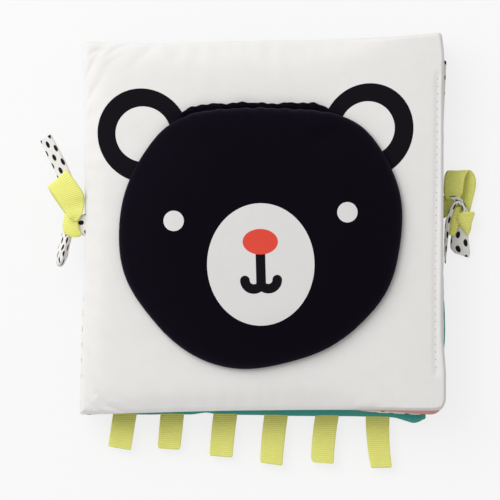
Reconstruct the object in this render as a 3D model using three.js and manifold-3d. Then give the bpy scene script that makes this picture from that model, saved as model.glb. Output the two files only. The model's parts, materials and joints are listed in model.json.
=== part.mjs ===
// Soft activity book: three padded cloth pages folded in a zig-zag, closed and lying on its back.
// A padded bear head on the cover is a pocket, open at its top. Ribbon loops hang from the lower
// seam of the back page, and a knotted ribbon and strap hang from each free side edge.
// Millimetres, +Z up out of the cover, +Y towards the top of the page, +X to the reader's right.
// The origin is the middle of the flat underside of the back page.

import * as THREE from 'three';
import { mergeVertices } from 'three/addons/utils/BufferGeometryUtils.js';
import Module from 'manifold-3d';

const wasm = await Module();
wasm.setup();

// Driving dimensions
const pageWidth = 194;
const pageHeight = 200;
const pageThickness = 9.6;
const pageGap = 0.4;
const clothThickness = 0.8;
const clearance = 0.3;
const crownReach = 42;
const sideDrawIn = 1.2;
const footTrim = 0.5;
const cornerRadius = 3.2;
const softCornerRadius = 9;
const foldReach = 20;
const foldSlack = 0.15;
const foldStripSetback = 12;
const rightFoldInset = 1.2;
const leftFoldInset = 0.6;
const channelInset = 4;
const channelDepth = 1.3;
const rollInset = 1.8;
const crinkleThickness = 0.3;
const printThickness = 0.3;

const headRadius = 74.2;
const headCentreX = -2;
const headCentreY = -6.1;
const headThickness = 9;
const pocketHeight = 4.6;
const mouthSetback = 3.2;

const earOuterRadius = 22.9;
const earInnerRadius = 14.1;
const earClearance = 1;

const eyeRadius = 5.4;
const leftEyeX = -47.7;
const leftEyeY = 1.9;
const rightEyeX = 44.8;
const rightEyeY = 6.5;
const muzzleHalfWidth = 28.6;
const muzzleHalfHeight = 32.6;
const muzzleX = -1.3;
const muzzleY = -21.3;
const noseHalfWidth = 9.4;
const noseHalfHeight = 6.8;
const noseX = -1.6;
const noseY = -9.2;
const mouthStroke = 5.1;
const mouthHookRadius = 4.7;
const mouthStemLength = 15.5;
const mouthHookSpacing = 7.8;

const ribbonWidth = 12.7;
const ribbonThickness = 0.8;
const tagLoopGap = 1;
const strapWidth = 9.6;
const strapThickness = 1.2;
const leftTieHeight = 5.3;
const rightTieHeight = 8;

// Facets: points on one rounded corner, between two corners, round the head and round a curve
const cornerSteps = 3;
const sidePoints = 3;
const headPoints = 40;
const curveSegments = 20;
const mouthSegments = 6;
const loopSegments = 8;
const knotSegments = 14;
const knotRings = 10;
const clothRoughness = 0.9;
const filmRoughness = 0.35;

// Corners of each page as shares of half its width and half its height, lower left first
const frontCornerShares = [[-1.012, -1.006], [1.004, -0.998], [0.995, 1.022], [-1.0, 0.98]];
const middleCornerShares = [[-0.998, -1.0], [0.99, -1.012], [1.0, 1.005], [-0.994, 0.975]];
const backCornerShares = [[-0.994, -1.01], [0.964, -1.05], [0.994, 1.0], [-0.99, 0.97]];

// Middle of each ear as shares of half the page's width and half its height
const leftEarShares = [-0.672, 0.488];
const rightEarShares = [0.593, 0.515];

// Rings of a page's surface: how far in each lies, as shares of the reach of its crown
const seamRingShare = 0.1;
const crownRingShares = [0.25, 0.55, 1];

// Head outline: shares of its radius for the cosine and sine of one to six turns
const headCosineShares = [0.0058, 0.0246, 0.0049, -0.0119, -0.007, 0.0062];
const headSineShares = [0.0397, 0.0167, 0.0192, -0.002, -0.0129, 0.0019];
const headRingShares = [1, 0.97, 0.91, 0.8, 0.56, 0.28];
const paddedHeadRings = 4;

// Pocket: middle and half reach of its mouth as shares of half a turn, how steeply the mouth
// closes at its ends, and the shares of the head's radius over which the flap lifts
const mouthCentreShare = 0.51;
const mouthReachShare = 0.235;
const mouthSteepness = 2.5;
const pocketEdgeShare = 0.4;
const pocketMouthShare = 0.5;
const liningRingShares = [1, 0.5];

// Ribbon loops: middle of each along the lower seam, as a share of half the page's width,
// then its length in ribbon widths and its sideways lean as a share of that length
const tagShares = [
  { along: -0.764, length: 1.46, lean: -0.16 },
  { along: -0.501, length: 1.5, lean: -0.1 },
  { along: -0.208, length: 1.81, lean: -0.1 },
  { along: 0.072, length: 2.05, lean: -0.1 },
  { along: 0.353, length: 2.05, lean: -0.1 },
  { along: 0.633, length: 2.17, lean: 0.075 },
];

const colours = {
  coverWhite: 0xe6e4e1,
  bearBlack: 0x15121a,
  coral: 0xd99d93,
  teal: 0x40968e,
  noseRed: 0xdb493b,
  lime: 0xd6d66a,
  batting: 0xf2f1ee,
  film: 0xc9ccd2,
};
const book = new THREE.Group();

function addPiece(name, geometry, colour, roughness = clothRoughness) {
  const material = new THREE.MeshStandardMaterial({ color: colour, roughness, metalness: 0 });
  const mesh = new THREE.Mesh(geometry, material);
  mesh.name = name;
  book.add(mesh);
  return mesh;
}

function indexedGeometry(positions, indices) {
  const geometry = new THREE.BufferGeometry();
  geometry.setAttribute('position', new THREE.Float32BufferAttribute(positions, 3));
  geometry.setIndex(indices);
  geometry.computeVertexNormals();
  return geometry;
}

function toSolid(geometry) {
  const bare = geometry.clone();
  bare.deleteAttribute('normal');
  bare.deleteAttribute('uv');
  const merged = mergeVertices(bare);
  return new wasm.Manifold(new wasm.Mesh({
    numProp: 3,
    vertProperties: new Float32Array(merged.attributes.position.array),
    triVerts: new Uint32Array(merged.index.array),
  }));
}

function toGeometry(solid) {
  const mesh = solid.getMesh();
  return indexedGeometry(Array.from(mesh.vertProperties), Array.from(mesh.triVerts));
}

function smooth(share) {
  const held = THREE.MathUtils.clamp(share, 0, 1);
  return held * held * (3 - 2 * held);
}

// A solid between two height functions over nested rings that close on one middle point
function ringSolid(rings, topOf, bottomOf) {
  const count = rings[0].length;
  const middle = rings.at(-1).reduce(
    (sum, point) => ({ x: sum.x + point.x / count, y: sum.y + point.y / count }),
    { x: 0, y: 0 },
  );
  const centre = { ...rings.at(-1)[0], ...middle, share: 0, inset: crownReach };
  const flat = [...rings.flat(), centre];
  const positions = [];
  [topOf, bottomOf].forEach((heightOf) => {
    flat.forEach((point) => positions.push(point.x, point.y, heightOf(point)));
  });
  const indices = [];
  const layer = flat.length;
  const quad = (a, b, c, d) => indices.push(a, b, c, a, c, d);
  for (let i = 0; i < count; i += 1) {
    const next = (i + 1) % count;
    for (let ring = 0; ring + 1 < rings.length; ring += 1) {
      const outer = ring * count;
      const inner = outer + count;
      quad(outer + i, outer + next, inner + next, inner + i);
      quad(layer + outer + i, layer + inner + i, layer + inner + next, layer + outer + next);
    }
    const last = (rings.length - 1) * count;
    indices.push(last + i, last + next, layer - 1);
    indices.push(layer + last + next, layer + last + i, 2 * layer - 1);
    quad(layer + i, layer + next, next, i);
  }
  return indexedGeometry(positions, indices);
}

// Pages
const seamThickness = 2 * clothThickness + clearance;
const pagePitch = pageThickness + pageGap;
const rightFoldX = pageWidth / 2 + rightFoldInset;
const leftFoldX = -pageWidth / 2 - leftFoldInset;

function makePage(order, cornerShares, radii, leftFold, rightFold) {
  return {
    level: order * pagePitch,
    leftFold,
    rightFold,
    trim: order === 0 ? footTrim : 0,
    corners: cornerShares.map(([acrossShare, upShare], index) => ({
      x: (acrossShare * pageWidth) / 2,
      y: (upShare * pageHeight) / 2,
      radius: radii[index],
    })),
  };
}

const backPage = makePage(
  0, backCornerShares, [cornerRadius, softCornerRadius, cornerRadius, cornerRadius], 1, 0,
);
const middlePage = makePage(
  1, middleCornerShares, [cornerRadius, softCornerRadius, cornerRadius, cornerRadius], -1, 1,
);
const frontPage = makePage(
  2, frontCornerShares, [cornerRadius, softCornerRadius, cornerRadius, cornerRadius], 0, -1,
);

function inwardNormal(from, to) {
  const run = new THREE.Vector2(to.x - from.x, to.y - from.y).normalize();
  return new THREE.Vector2(-run.y, run.x);
}

// One ring of a page: its outline moved in by a distance, round at the corners, drawn in between
function pageRing(page, inset) {
  const arcs = page.corners.map((corner, index) => {
    const before = page.corners.at(index - 1);
    const after = page.corners[(index + 1) % page.corners.length];
    const normalIn = inwardNormal(before, corner);
    const normalOut = inwardNormal(corner, after);
    const radius = Math.max(corner.radius - inset, cornerRadius / 2);
    const reach = (inset + radius) / (1 + normalIn.dot(normalOut));
    const centreX = corner.x + (normalIn.x + normalOut.x) * reach;
    const centreY = corner.y + (normalIn.y + normalOut.y) * reach;
    const start = Math.atan2(-normalIn.y, -normalIn.x);
    const turn = Math.atan2(normalIn.cross(normalOut), normalIn.dot(normalOut));
    return Array.from({ length: cornerSteps + 1 }, (_, step) => {
      const angle = start + (turn * step) / cornerSteps;
      return {
        x: centreX + radius * Math.cos(angle),
        y: centreY + radius * Math.sin(angle),
        inset,
      };
    });
  });
  return arcs.flatMap((arc, index) => {
    const from = arc.at(-1);
    const to = arcs[(index + 1) % arcs.length][0];
    const inward = inwardNormal(from, to);
    const between = Array.from({ length: sidePoints }, (_, step) => {
      const share = (step + 1) / (sidePoints + 1);
      const pull = sideDrawIn * 4 * share * (1 - share);
      return {
        x: THREE.MathUtils.lerp(from.x, to.x, share) + inward.x * pull,
        y: THREE.MathUtils.lerp(from.y, to.y, share) + inward.y * pull,
        inset,
      };
    });
    return [...arc, ...between];
  });
}

// A page's seam runs at half its thickness, and drops or rises to the fold at a folded side
function seamHeight(page, x) {
  const travel = (pageThickness + pageGap - seamThickness) / 2 - foldSlack;
  const left = smooth((leftFoldX + foldReach - x) / foldReach);
  const right = smooth((x - rightFoldX + foldReach) / foldReach);
  return page.level + pageThickness / 2 + travel * (page.leftFold * left + page.rightFold * right);
}

function crown(inset) {
  return 1 - (1 - Math.min(inset / crownReach, 1)) ** 3;
}

// The sewn channel beside the front page's fold: a dip at the stitches, and a roll outside them
function channel(page, point) {
  if (page !== frontPage) return 0;
  const beside = smooth((point.x - rightFoldX + 3 * channelInset) / (2 * channelInset));
  const offset = Math.abs(point.inset - channelInset) / (channelInset - rollInset);
  return -channelDepth * beside * Math.max(1 - offset, 0);
}

function pageTop(page, depth = 0) {
  return (point) => {
    const seam = seamHeight(page, point.x) + seamThickness / 2;
    const full = page.level + pageThickness;
    const rise = (full - seam) * crown(point.inset);
    return seam + Math.max(rise + channel(page, point), 0) - depth;
  };
}

function pageBottom(page, depth = 0) {
  return (point) => {
    const seam = seamHeight(page, point.x) - seamThickness / 2;
    const full = page.level - page.trim;
    const height = seam + (full - seam) * crown(point.inset);
    return Math.max(height, page.level) + depth;
  };
}

const battingInsets = crownRingShares.map((share) => share * crownReach);
const faceInsets = [0, rollInset, channelInset, ...battingInsets];
const plainInsets = [0, seamRingShare * crownReach, ...battingInsets];
const ringsOf = (page, insets) => insets.map((inset) => pageRing(page, inset));

function upperCloth(page, insets) {
  return ringSolid(ringsOf(page, insets), pageTop(page), pageTop(page, clothThickness));
}

function lowerCloth(page) {
  const rings = ringsOf(page, plainInsets);
  return ringSolid(rings, pageBottom(page, clothThickness), pageBottom(page));
}

function pageBatting(page, topDepth) {
  const rings = ringsOf(page, battingInsets);
  return ringSolid(rings, pageTop(page, topDepth), pageBottom(page, clothThickness + clearance));
}

// Where a page's side edge lies at a height up the page
function sideEdge(page, side, y) {
  const edge = pageRing(page, 0).filter((point) => point.x * side > 0).sort((a, b) => a.y - b.y);
  const above = edge.find((point) => point.y > y) ?? edge.at(-1);
  const below = edge[Math.max(edge.indexOf(above) - 1, 0)];
  return THREE.MathUtils.lerp(below.x, above.x, (y - below.y) / (above.y - below.y));
}

// A strip of cloth from a page's edge to the fold, as thick as one cloth, clear of the fold line
function foldStrip(page, side, direction) {
  const foldX = side > 0 ? rightFoldX : leftFoldX;
  const foldZ = page.level + (direction > 0 ? pageThickness + pageGap / 2 : -pageGap / 2);
  const half = pageHeight / 2 - foldStripSetback;
  const bends = pageRing(page, 0)
    .filter((point) => point.x * side > 0 && Math.abs(point.y) < half)
    .map((point) => point.y)
    .sort((a, b) => b - a);
  const outline = new THREE.Shape();
  outline.moveTo(foldX - side * foldSlack, -half);
  outline.lineTo(foldX - side * foldSlack, half);
  [half, ...bends, -half].forEach((y) => {
    outline.lineTo(sideEdge(page, side, y) + side * clearance, y);
  });
  outline.closePath();
  const strip = new THREE.ExtrudeGeometry(outline, { depth: clothThickness, bevelEnabled: false });
  const base = direction > 0 ? foldZ - foldSlack - clothThickness : foldZ + foldSlack;
  return strip.translate(0, 0, base);
}

// Back page
addPiece('back_outer_cloth', lowerCloth(backPage), colours.coverWhite);
addPiece('back_face_cloth', upperCloth(backPage, plainInsets), colours.teal);
addPiece('back_batting', pageBatting(backPage, clothThickness + clearance), colours.batting);
addPiece('back_fold_strip', foldStrip(backPage, -1, 1), colours.coverWhite);

// Middle page, with a crinkle film above its batting
const filmDepth = clothThickness + clearance;
const underFilm = filmDepth + crinkleThickness + clearance;
addPiece('middle_back_cloth', lowerCloth(middlePage), colours.coverWhite);
addPiece('middle_face_cloth', upperCloth(middlePage, plainInsets), colours.coverWhite);
addPiece('middle_batting', pageBatting(middlePage, underFilm), colours.batting);
addPiece('crinkle_film', ringSolid(
  ringsOf(middlePage, battingInsets),
  pageTop(middlePage, filmDepth),
  pageTop(middlePage, filmDepth + crinkleThickness),
), colours.film, filmRoughness);
addPiece('middle_fold_strip_left', foldStrip(middlePage, -1, -1), colours.coverWhite);
addPiece('middle_fold_strip_right', foldStrip(middlePage, 1, 1), colours.coverWhite);

// Front page
const coverTop = frontPage.level + pageThickness;
addPiece('front_lining_cloth', lowerCloth(frontPage), colours.coral);
addPiece('front_cover_cloth', upperCloth(frontPage, faceInsets), colours.coverWhite);
addPiece('front_batting', pageBatting(frontPage, clothThickness + clearance), colours.batting);
addPiece('front_fold_strip', foldStrip(frontPage, 1, -1), colours.coverWhite);

// Bear head: a pocket lining on the cover, and a padded flap over it, loose along its top
const mouthCentre = Math.PI * mouthCentreShare;
const mouthHalfAngle = Math.PI * mouthReachShare;
const liningBase = coverTop + clearance;
const flapBase = liningBase + clothThickness + clearance;

function headOutline(angle) {
  const wave = headCosineShares.reduce((sum, share, index) => {
    const turn = (index + 1) * angle;
    return sum + share * Math.cos(turn) + headSineShares[index] * Math.sin(turn);
  }, 1);
  return headRadius * wave;
}

function mouthShare(angle) {
  return smooth((1 - Math.abs(angle - mouthCentre) / mouthHalfAngle) * mouthSteepness);
}

function headRing(share, setback, grow = 0) {
  return Array.from({ length: headPoints }, (_, index) => {
    const angle = (2 * Math.PI * index) / headPoints;
    const radius = (headOutline(angle) - setback * mouthShare(angle) + grow) * share;
    return {
      x: headCentreX + radius * Math.cos(angle),
      y: headCentreY + radius * Math.sin(angle),
      share,
      angle,
    };
  });
}

// Height of the pocket under the flap: nothing at the sewn edge, open at the mouth
function pocketRise(point) {
  const inside = smooth((1 - point.share) / pocketEdgeShare);
  const open = mouthShare(point.angle) * smooth(point.share / pocketMouthShare);
  return pocketHeight * Math.max(inside, open);
}

function flapBottom(depth = 0) {
  return (point) => flapBase + pocketRise(point) + depth;
}

function flapTop(depth = 0) {
  const rise = headThickness - seamThickness;
  return (point) => {
    const swell = Math.sqrt(1 - Math.min(point.share, 1) ** 4);
    return flapBase + pocketRise(point) + seamThickness + rise * swell - depth;
  };
}

const flapRings = headRingShares.map((share) => headRing(share, mouthSetback));
const flapBattingRings = flapRings.slice(-paddedHeadRings);
addPiece('head_pocket_lining', ringSolid(
  liningRingShares.map((share) => headRing(share, 0)),
  () => liningBase + clothThickness,
  () => liningBase,
), colours.bearBlack);
addPiece('head_back_cloth', ringSolid(
  flapRings, flapBottom(clothThickness), flapBottom(),
), colours.bearBlack);
addPiece('head_batting', ringSolid(
  flapBattingRings, flapTop(clothThickness + clearance), flapBottom(clothThickness + clearance),
), colours.batting);
addPiece('head_face_cloth', ringSolid(
  flapRings, flapTop(), flapTop(clothThickness),
), colours.bearBlack);

// Printed artwork: a thin skin over the cloth, cut to each motif's outline
const printCeiling = coverTop + 3 * headThickness;

function prism(shape, segments = curveSegments) {
  const geometry = new THREE.ExtrudeGeometry(shape, {
    depth: printCeiling,
    bevelEnabled: false,
    curveSegments: segments,
  });
  return toSolid(geometry);
}

function ellipse(x, y, halfWidth, halfHeight) {
  const shape = new THREE.Shape();
  shape.absellipse(x, y, halfWidth, halfHeight, 0, 2 * Math.PI, false, 0);
  return shape;
}

function skin(rings, topOf) {
  const raised = (point) => topOf(point) + clearance;
  return toSolid(ringSolid(rings, (point) => raised(point) + printThickness, raised));
}

const coverSkin = skin(ringsOf(frontPage, faceInsets), pageTop(frontPage));
const headSkin = skin(flapRings, flapTop());
const earCut = prism(new THREE.Shape(
  headRing(1, 0, earClearance).map((point) => new THREE.Vector2(point.x, point.y)),
));

function earPrint([acrossShare, upShare]) {
  const x = (acrossShare * pageWidth) / 2;
  const y = (upShare * pageHeight) / 2;
  const ring = ellipse(x, y, earOuterRadius, earOuterRadius);
  ring.holes.push(ellipse(x, y, earInnerRadius, earInnerRadius));
  return toGeometry(coverSkin.intersect(prism(ring).subtract(earCut)));
}

addPiece('ear_print_left', earPrint(leftEarShares), colours.bearBlack);
addPiece('ear_print_right', earPrint(rightEarShares), colours.bearBlack);

function facePrint(outline) {
  return toGeometry(headSkin.intersect(outline));
}

addPiece('eye_print_left', facePrint(
  prism(ellipse(leftEyeX, leftEyeY, eyeRadius, eyeRadius)),
), colours.coverWhite);
addPiece('eye_print_right', facePrint(
  prism(ellipse(rightEyeX, rightEyeY, eyeRadius, eyeRadius)),
), colours.coverWhite);

// The mouth: a stem under the nose that ends in two hooks, as one stroke with round ends
function mouthOutline(grow) {
  const half = mouthStroke / 2 + grow;
  const stemTop = noseY - noseHalfHeight / 2;
  const stemFoot = noseY - noseHalfHeight - mouthStemLength;
  const stem = new THREE.Shape([
    new THREE.Vector2(noseX - half, stemFoot),
    new THREE.Vector2(noseX + half, stemFoot),
    new THREE.Vector2(noseX + half, stemTop),
    new THREE.Vector2(noseX - half, stemTop),
  ]);
  const hooks = [-1, 1].map((side) => {
    const x = noseX + (side * mouthHookSpacing) / 2;
    const hook = new THREE.Shape();
    const tip = { x: x + side * mouthHookRadius, angle: side > 0 ? 0 : Math.PI };
    const root = { x: x - side * mouthHookRadius, angle: side > 0 ? Math.PI : 0 };
    hook.absarc(x, stemFoot, mouthHookRadius + half, root.angle, tip.angle, side < 0);
    hook.absarc(tip.x, stemFoot, half, tip.angle, root.angle, side < 0);
    hook.absarc(x, stemFoot, mouthHookRadius - half, tip.angle, root.angle, side > 0);
    hook.closePath();
    return hook;
  });
  return hooks.reduce((sum, hook) => sum.add(prism(hook, mouthSegments)), prism(stem));
}

const nose = (grow) => prism(ellipse(noseX, noseY, noseHalfWidth + grow, noseHalfHeight + grow));
const muzzle = prism(ellipse(muzzleX, muzzleY, muzzleHalfWidth, muzzleHalfHeight));
addPiece('nose_print', facePrint(nose(0)), colours.noseRed);
addPiece('mouth_print', facePrint(mouthOutline(0).subtract(nose(clearance))), colours.bearBlack);
addPiece('muzzle_print', facePrint(
  muzzle.subtract(nose(clearance)).subtract(mouthOutline(clearance)),
), colours.coverWhite);

// Ribbon loops in the lower seam of the back page, each turning about its knuckle at the seam
const tagThickness = 2 * ribbonThickness + tagLoopGap;
const seamRing = pageRing(backPage, 0);

function lowerEdge(x) {
  const edge = seamRing.filter((point) => point.y < 0).sort((a, b) => a.x - b.x);
  const above = edge.find((point) => point.x > x) ?? edge.at(-1);
  const below = edge[Math.max(edge.indexOf(above) - 1, 0)];
  return THREE.MathUtils.lerp(below.y, above.y, (x - below.x) / (above.x - below.x));
}

function tagPlace({ along }) {
  const x = (along * pageWidth) / 2;
  const edge = Math.min(lowerEdge(x - ribbonWidth / 2), lowerEdge(x + ribbonWidth / 2));
  return { x, y: edge - clearance - tagThickness / 2, z: backPage.level + pageThickness / 2 };
}

function ribbonLoop({ length, lean }) {
  const reach = length * ribbonWidth;
  const outer = tagThickness / 2;
  const inner = tagLoopGap / 2;
  const end = reach - outer;
  const loop = new THREE.Shape();
  loop.absarc(0, 0, outer, -Math.PI / 2, Math.PI / 2, false);
  loop.absarc(-end, 0, outer, Math.PI / 2, (3 * Math.PI) / 2, false);
  loop.closePath();
  const hollow = new THREE.Path();
  hollow.absarc(-end, 0, inner, (3 * Math.PI) / 2, Math.PI / 2, true);
  hollow.absarc(-tagThickness, 0, inner, Math.PI / 2, -Math.PI / 2, true);
  hollow.closePath();
  loop.holes.push(hollow);
  const geometry = new THREE.ExtrudeGeometry(loop, {
    depth: ribbonWidth,
    bevelEnabled: false,
    curveSegments: loopSegments,
  });
  geometry.translate(0, 0, -ribbonWidth / 2);
  const place = geometry.attributes.position;
  for (let i = 0; i < place.count; i += 1) {
    const along = place.getX(i);
    const sideways = place.getZ(i) - lean * Math.min(along, 0);
    place.setXYZ(i, sideways, along, place.getY(i));
  }
  geometry.computeVertexNormals();
  return geometry;
}

tagShares.forEach((tag, index) => {
  const piece = addPiece(`ribbon_tag_${index + 1}`, ribbonLoop(tag), colours.lime);
  const { x, y, z } = tagPlace(tag);
  piece.position.set(x, y, z);
});

// Ribbons and straps: a flat strip through stations, each turned by its own angles
function strip(stations, width, thickness, steps) {
  const centres = new THREE.CatmullRomCurve3(stations.map(({ at }) => new THREE.Vector3(...at)));
  const sections = [];
  for (let step = 0; step <= steps; step += 1) {
    const share = step / steps;
    const place = share * (stations.length - 1);
    const from = stations[Math.min(Math.floor(place), stations.length - 2)];
    const to = stations[Math.min(Math.floor(place) + 1, stations.length - 1)];
    const blend = smooth(place - Math.min(Math.floor(place), stations.length - 2));
    const heading = THREE.MathUtils.lerp(from.heading, to.heading, blend);
    const tilt = THREE.MathUtils.lerp(from.tilt, to.tilt, blend);
    const wide = THREE.MathUtils.lerp(from.wide, to.wide, blend);
    const across = new THREE.Vector3(
      Math.cos(heading) * Math.cos(tilt), Math.sin(heading) * Math.cos(tilt), Math.sin(tilt),
    );
    const centre = centres.getPoint(share);
    const tangent = centres.getTangent(share);
    const normal = new THREE.Vector3().crossVectors(tangent, across).normalize();
    const level = new THREE.Vector3().crossVectors(normal, tangent).normalize();
    const corner = (side, up) => centre.clone()
      .addScaledVector(level, (side * wide * width) / 2)
      .addScaledVector(normal, (up * thickness) / 2);
    sections.push([corner(-1, -1), corner(1, -1), corner(1, 1), corner(-1, 1)]);
  }
  const positions = sections.flat().flatMap((point) => point.toArray());
  const indices = [0, 2, 1, 0, 3, 2];
  const last = 4 * steps;
  indices.push(last, last + 1, last + 2, last, last + 2, last + 3);
  for (let step = 0; step < steps; step += 1) {
    for (let side = 0; side < 4; side += 1) {
      const a = 4 * step + side;
      const b = 4 * step + ((side + 1) % 4);
      indices.push(a, b, b + 4, a, b + 4, a + 4);
    }
  }
  return indexedGeometry(positions, indices);
}

const degree = Math.PI / 180;

// A tie hangs at a page's side edge: its stations are places in ribbon widths from that edge
function tieStations(anchor, rows) {
  return rows.map(([xShare, yShare, zShare, heading, tilt, wide]) => ({
    at: [
      anchor.x + xShare * ribbonWidth,
      anchor.y + yShare * ribbonWidth,
      anchor.z + zShare * ribbonWidth,
    ],
    heading: heading * degree,
    tilt: tilt * degree,
    wide,
  }));
}

function knot(anchor, { place: [xShare, yShare, zShare], size }) {
  const lump = new THREE.SphereGeometry(ribbonWidth / 2, knotSegments, knotRings);
  lump.scale(...size);
  lump.translate(
    anchor.x + xShare * ribbonWidth,
    anchor.y + yShare * ribbonWidth,
    anchor.z + zShare * ribbonWidth,
  );
  return lump;
}

const leftAnchor = {
  x: sideEdge(frontPage, -1, leftTieHeight),
  y: leftTieHeight,
  z: frontPage.level,
};
const rightAnchor = {
  x: sideEdge(backPage, 1, rightTieHeight),
  y: rightTieHeight,
  z: backPage.level,
};

// Rows: across, along and up in ribbon widths, then heading and tilt in degrees, then width
const leftRibbonShares = [
  [-0.5, 0.02, 0.6, 6, 0, 0.62],
  [-0.62, 0.62, 0.6, 22, 0, 1],
  [-0.98, 1.24, 0.55, 40, 0, 1],
  [-1.13, 1.46, 0.44, 41, 0, 1],
  [-0.98, 1.24, 0.33, 40, 0, 1],
  [-0.62, 0.62, 0.27, 22, 0, 1],
  [-0.5, 0.02, 0.3, 6, 0, 0.62],
];
const leftRibbonTailShares = [
  [-0.5, -0.3, 0.6, 0, 0, 0.5],
  [-0.47, -0.9, 0.58, -5, 0, 0.8],
];
const leftStrapShares = [
  [-1.61, 3.24, 0.25, 27, 0, 0.7],
  [-0.83, 1.69, 0.12, 27, 0, 0.7],
  [-0.5, 0.02, 0.12, 15, 0, 0.6],
];
const leftStrapRootShares = [
  [-0.22, -0.16, 0.38, 80, 0, 0.25],
  [-0.13, -0.2, 0.378, 90, 0, 0.5],
  [-0.035, -0.2, 0.378, 90, 0, 0.6],
];
const leftStrapLoopShares = [
  [-0.6, -0.31, 0.3, 0, 75, 0.45],
  [-0.86, -1.5, 0.3, 0, 75, 0.45],
  [-1.08, -2.04, 0.3, 0, 75, 0.45],
  [-1.0, -2.2, 0.3, 0, 75, 0.45],
  [-0.9, -2.04, 0.3, 0, 75, 0.45],
  [-0.74, -1.5, 0.3, 0, 75, 0.45],
  [-0.45, -0.31, 0.3, 0, 75, 0.45],
];
const rightRibbonShares = [
  [1.12, -0.02, 0.3, 0, 0, 0.6],
  [1.14, 0.55, 0.2, 0, 0, 0.95],
  [1.12, 1.24, 0.2, 0, 0, 0.95],
  [0.95, 1.52, 0.36, 0, 5, 0.95],
  [0.76, 1.24, 0.52, 0, 12, 0.95],
  [0.66, 0.75, 0.52, 0, 12, 0.95],
  [0.55, 0.3, 0.5, 0, 10, 0.8],
];
const rightRibbonTailShares = [
  [0.53, 0.25, 0.5, 0, 0, 0.36],
  [0.5, -1.05, 0.44, -4, 0, 0.44],
];
const rightRibbonRootShares = [
  [0.035, 0.2, 0.36, 90, 0, 0.5],
  [0.14, 0.2, 0.36, 90, 0, 0.5],
  [0.4, 0.04, 0.36, 80, 0, 0.4],
  [0.7, -0.13, 0.35, 80, 0, 0.22],
];
const rightStrapShares = [
  [1.06, -0.37, 0.35, -8, 0, 0.7],
  [1.0, -1.1, 0.3, -6, 0, 0.95],
  [0.96, -2.02, 0.3, -12, 0, 0.9],
];
const rightStrandShares = [
  [0.5, 0.25, 0.26, 40, 0, 0.35],
  [0.37, -0.4, 0.2, 10, 0, 0.35],
  [0.38, -1.45, 0.3, 4, 0, 0.35],
  [0.41, -2.3, 0.3, 0, 0, 0.35],
];

// Knots: place across, along and up in ribbon widths, then size in the same three directions
const leftKnotShares = { place: [-0.5, -0.14, 0.4], size: [0.5, 0.26, 0.6] };
const rightKnotShares = { place: [1.1, -0.19, 0.36], size: [0.76, 0.28, 0.5] };

const stripSteps = 18;
const shortStripSteps = 5;

function addStrip(name, anchor, rows, width, thickness, steps, colour) {
  const piece = strip(tieStations(anchor, rows), width, thickness, steps);
  addPiece(name, piece, colour);
}

addStrip('tie_left_ribbon', leftAnchor, leftRibbonShares, ribbonWidth, ribbonThickness,
  stripSteps, colours.lime);
addStrip('tie_left_ribbon_tail', leftAnchor, leftRibbonTailShares, ribbonWidth, ribbonThickness,
  shortStripSteps, colours.lime);
addStrip('tie_left_strap', leftAnchor, leftStrapShares, strapWidth, strapThickness,
  shortStripSteps, colours.coverWhite);
addStrip('tie_left_strap_loop', leftAnchor, leftStrapLoopShares, strapWidth, strapThickness / 2,
  stripSteps, colours.coverWhite);
addStrip('tie_left_strap_root', leftAnchor, leftStrapRootShares, strapWidth, strapThickness,
  shortStripSteps, colours.coverWhite);
addPiece('tie_left_knot', knot(leftAnchor, leftKnotShares), colours.lime);

addStrip('tie_right_ribbon', rightAnchor, rightRibbonShares, ribbonWidth, ribbonThickness,
  stripSteps, colours.lime);
addStrip('tie_right_ribbon_tail', rightAnchor, rightRibbonTailShares, ribbonWidth,
  ribbonThickness, shortStripSteps, colours.lime);
addStrip('tie_right_ribbon_root', rightAnchor, rightRibbonRootShares, ribbonWidth,
  ribbonThickness, shortStripSteps, colours.lime);
addStrip('tie_right_strap', rightAnchor, rightStrapShares, strapWidth, strapThickness,
  shortStripSteps, colours.coverWhite);
addStrip('tie_right_strand', rightAnchor, rightStrandShares, strapWidth, strapThickness / 2,
  stripSteps, colours.coverWhite);
addPiece('tie_right_knot', knot(rightAnchor, rightKnotShares), colours.lime);

export default book;
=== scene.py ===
"""Soft activity book, closed and lying on its back, photographed from straight above.

Three padded cloth pages fold in a zig-zag. A padded bear head on the cover is a pocket that is
open at its top. Ribbed ribbon loops hang from the lower seam, and a knotted ribbon and a dotted
strap hang from each free side edge. Everything is in metres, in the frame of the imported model.
"""

import json
import logging
import math
from collections.abc import Callable, Sequence
from dataclasses import dataclass, field
from enum import Enum
from typing import Any

import bpy
import numpy as np
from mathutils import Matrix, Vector
from mathutils.bvhtree import BVHTree
from mathutils.geometry import delaunay_2d_cdt


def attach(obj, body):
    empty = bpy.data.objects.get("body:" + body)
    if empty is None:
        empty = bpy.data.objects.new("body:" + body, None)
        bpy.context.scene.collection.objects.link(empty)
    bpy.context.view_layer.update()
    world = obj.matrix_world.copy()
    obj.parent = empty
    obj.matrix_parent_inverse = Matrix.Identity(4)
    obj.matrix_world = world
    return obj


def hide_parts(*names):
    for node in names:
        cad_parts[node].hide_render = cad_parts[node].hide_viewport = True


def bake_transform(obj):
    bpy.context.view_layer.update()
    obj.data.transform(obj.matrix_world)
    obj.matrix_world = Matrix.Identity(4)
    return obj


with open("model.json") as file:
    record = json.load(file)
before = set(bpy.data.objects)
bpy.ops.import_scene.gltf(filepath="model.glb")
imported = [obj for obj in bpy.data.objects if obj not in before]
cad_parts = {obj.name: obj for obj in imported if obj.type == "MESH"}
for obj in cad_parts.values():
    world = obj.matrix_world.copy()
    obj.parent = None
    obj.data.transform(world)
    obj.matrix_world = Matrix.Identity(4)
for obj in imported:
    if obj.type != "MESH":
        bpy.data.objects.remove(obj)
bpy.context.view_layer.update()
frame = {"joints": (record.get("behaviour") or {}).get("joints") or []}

log = logging.getLogger("activity_book")

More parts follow.
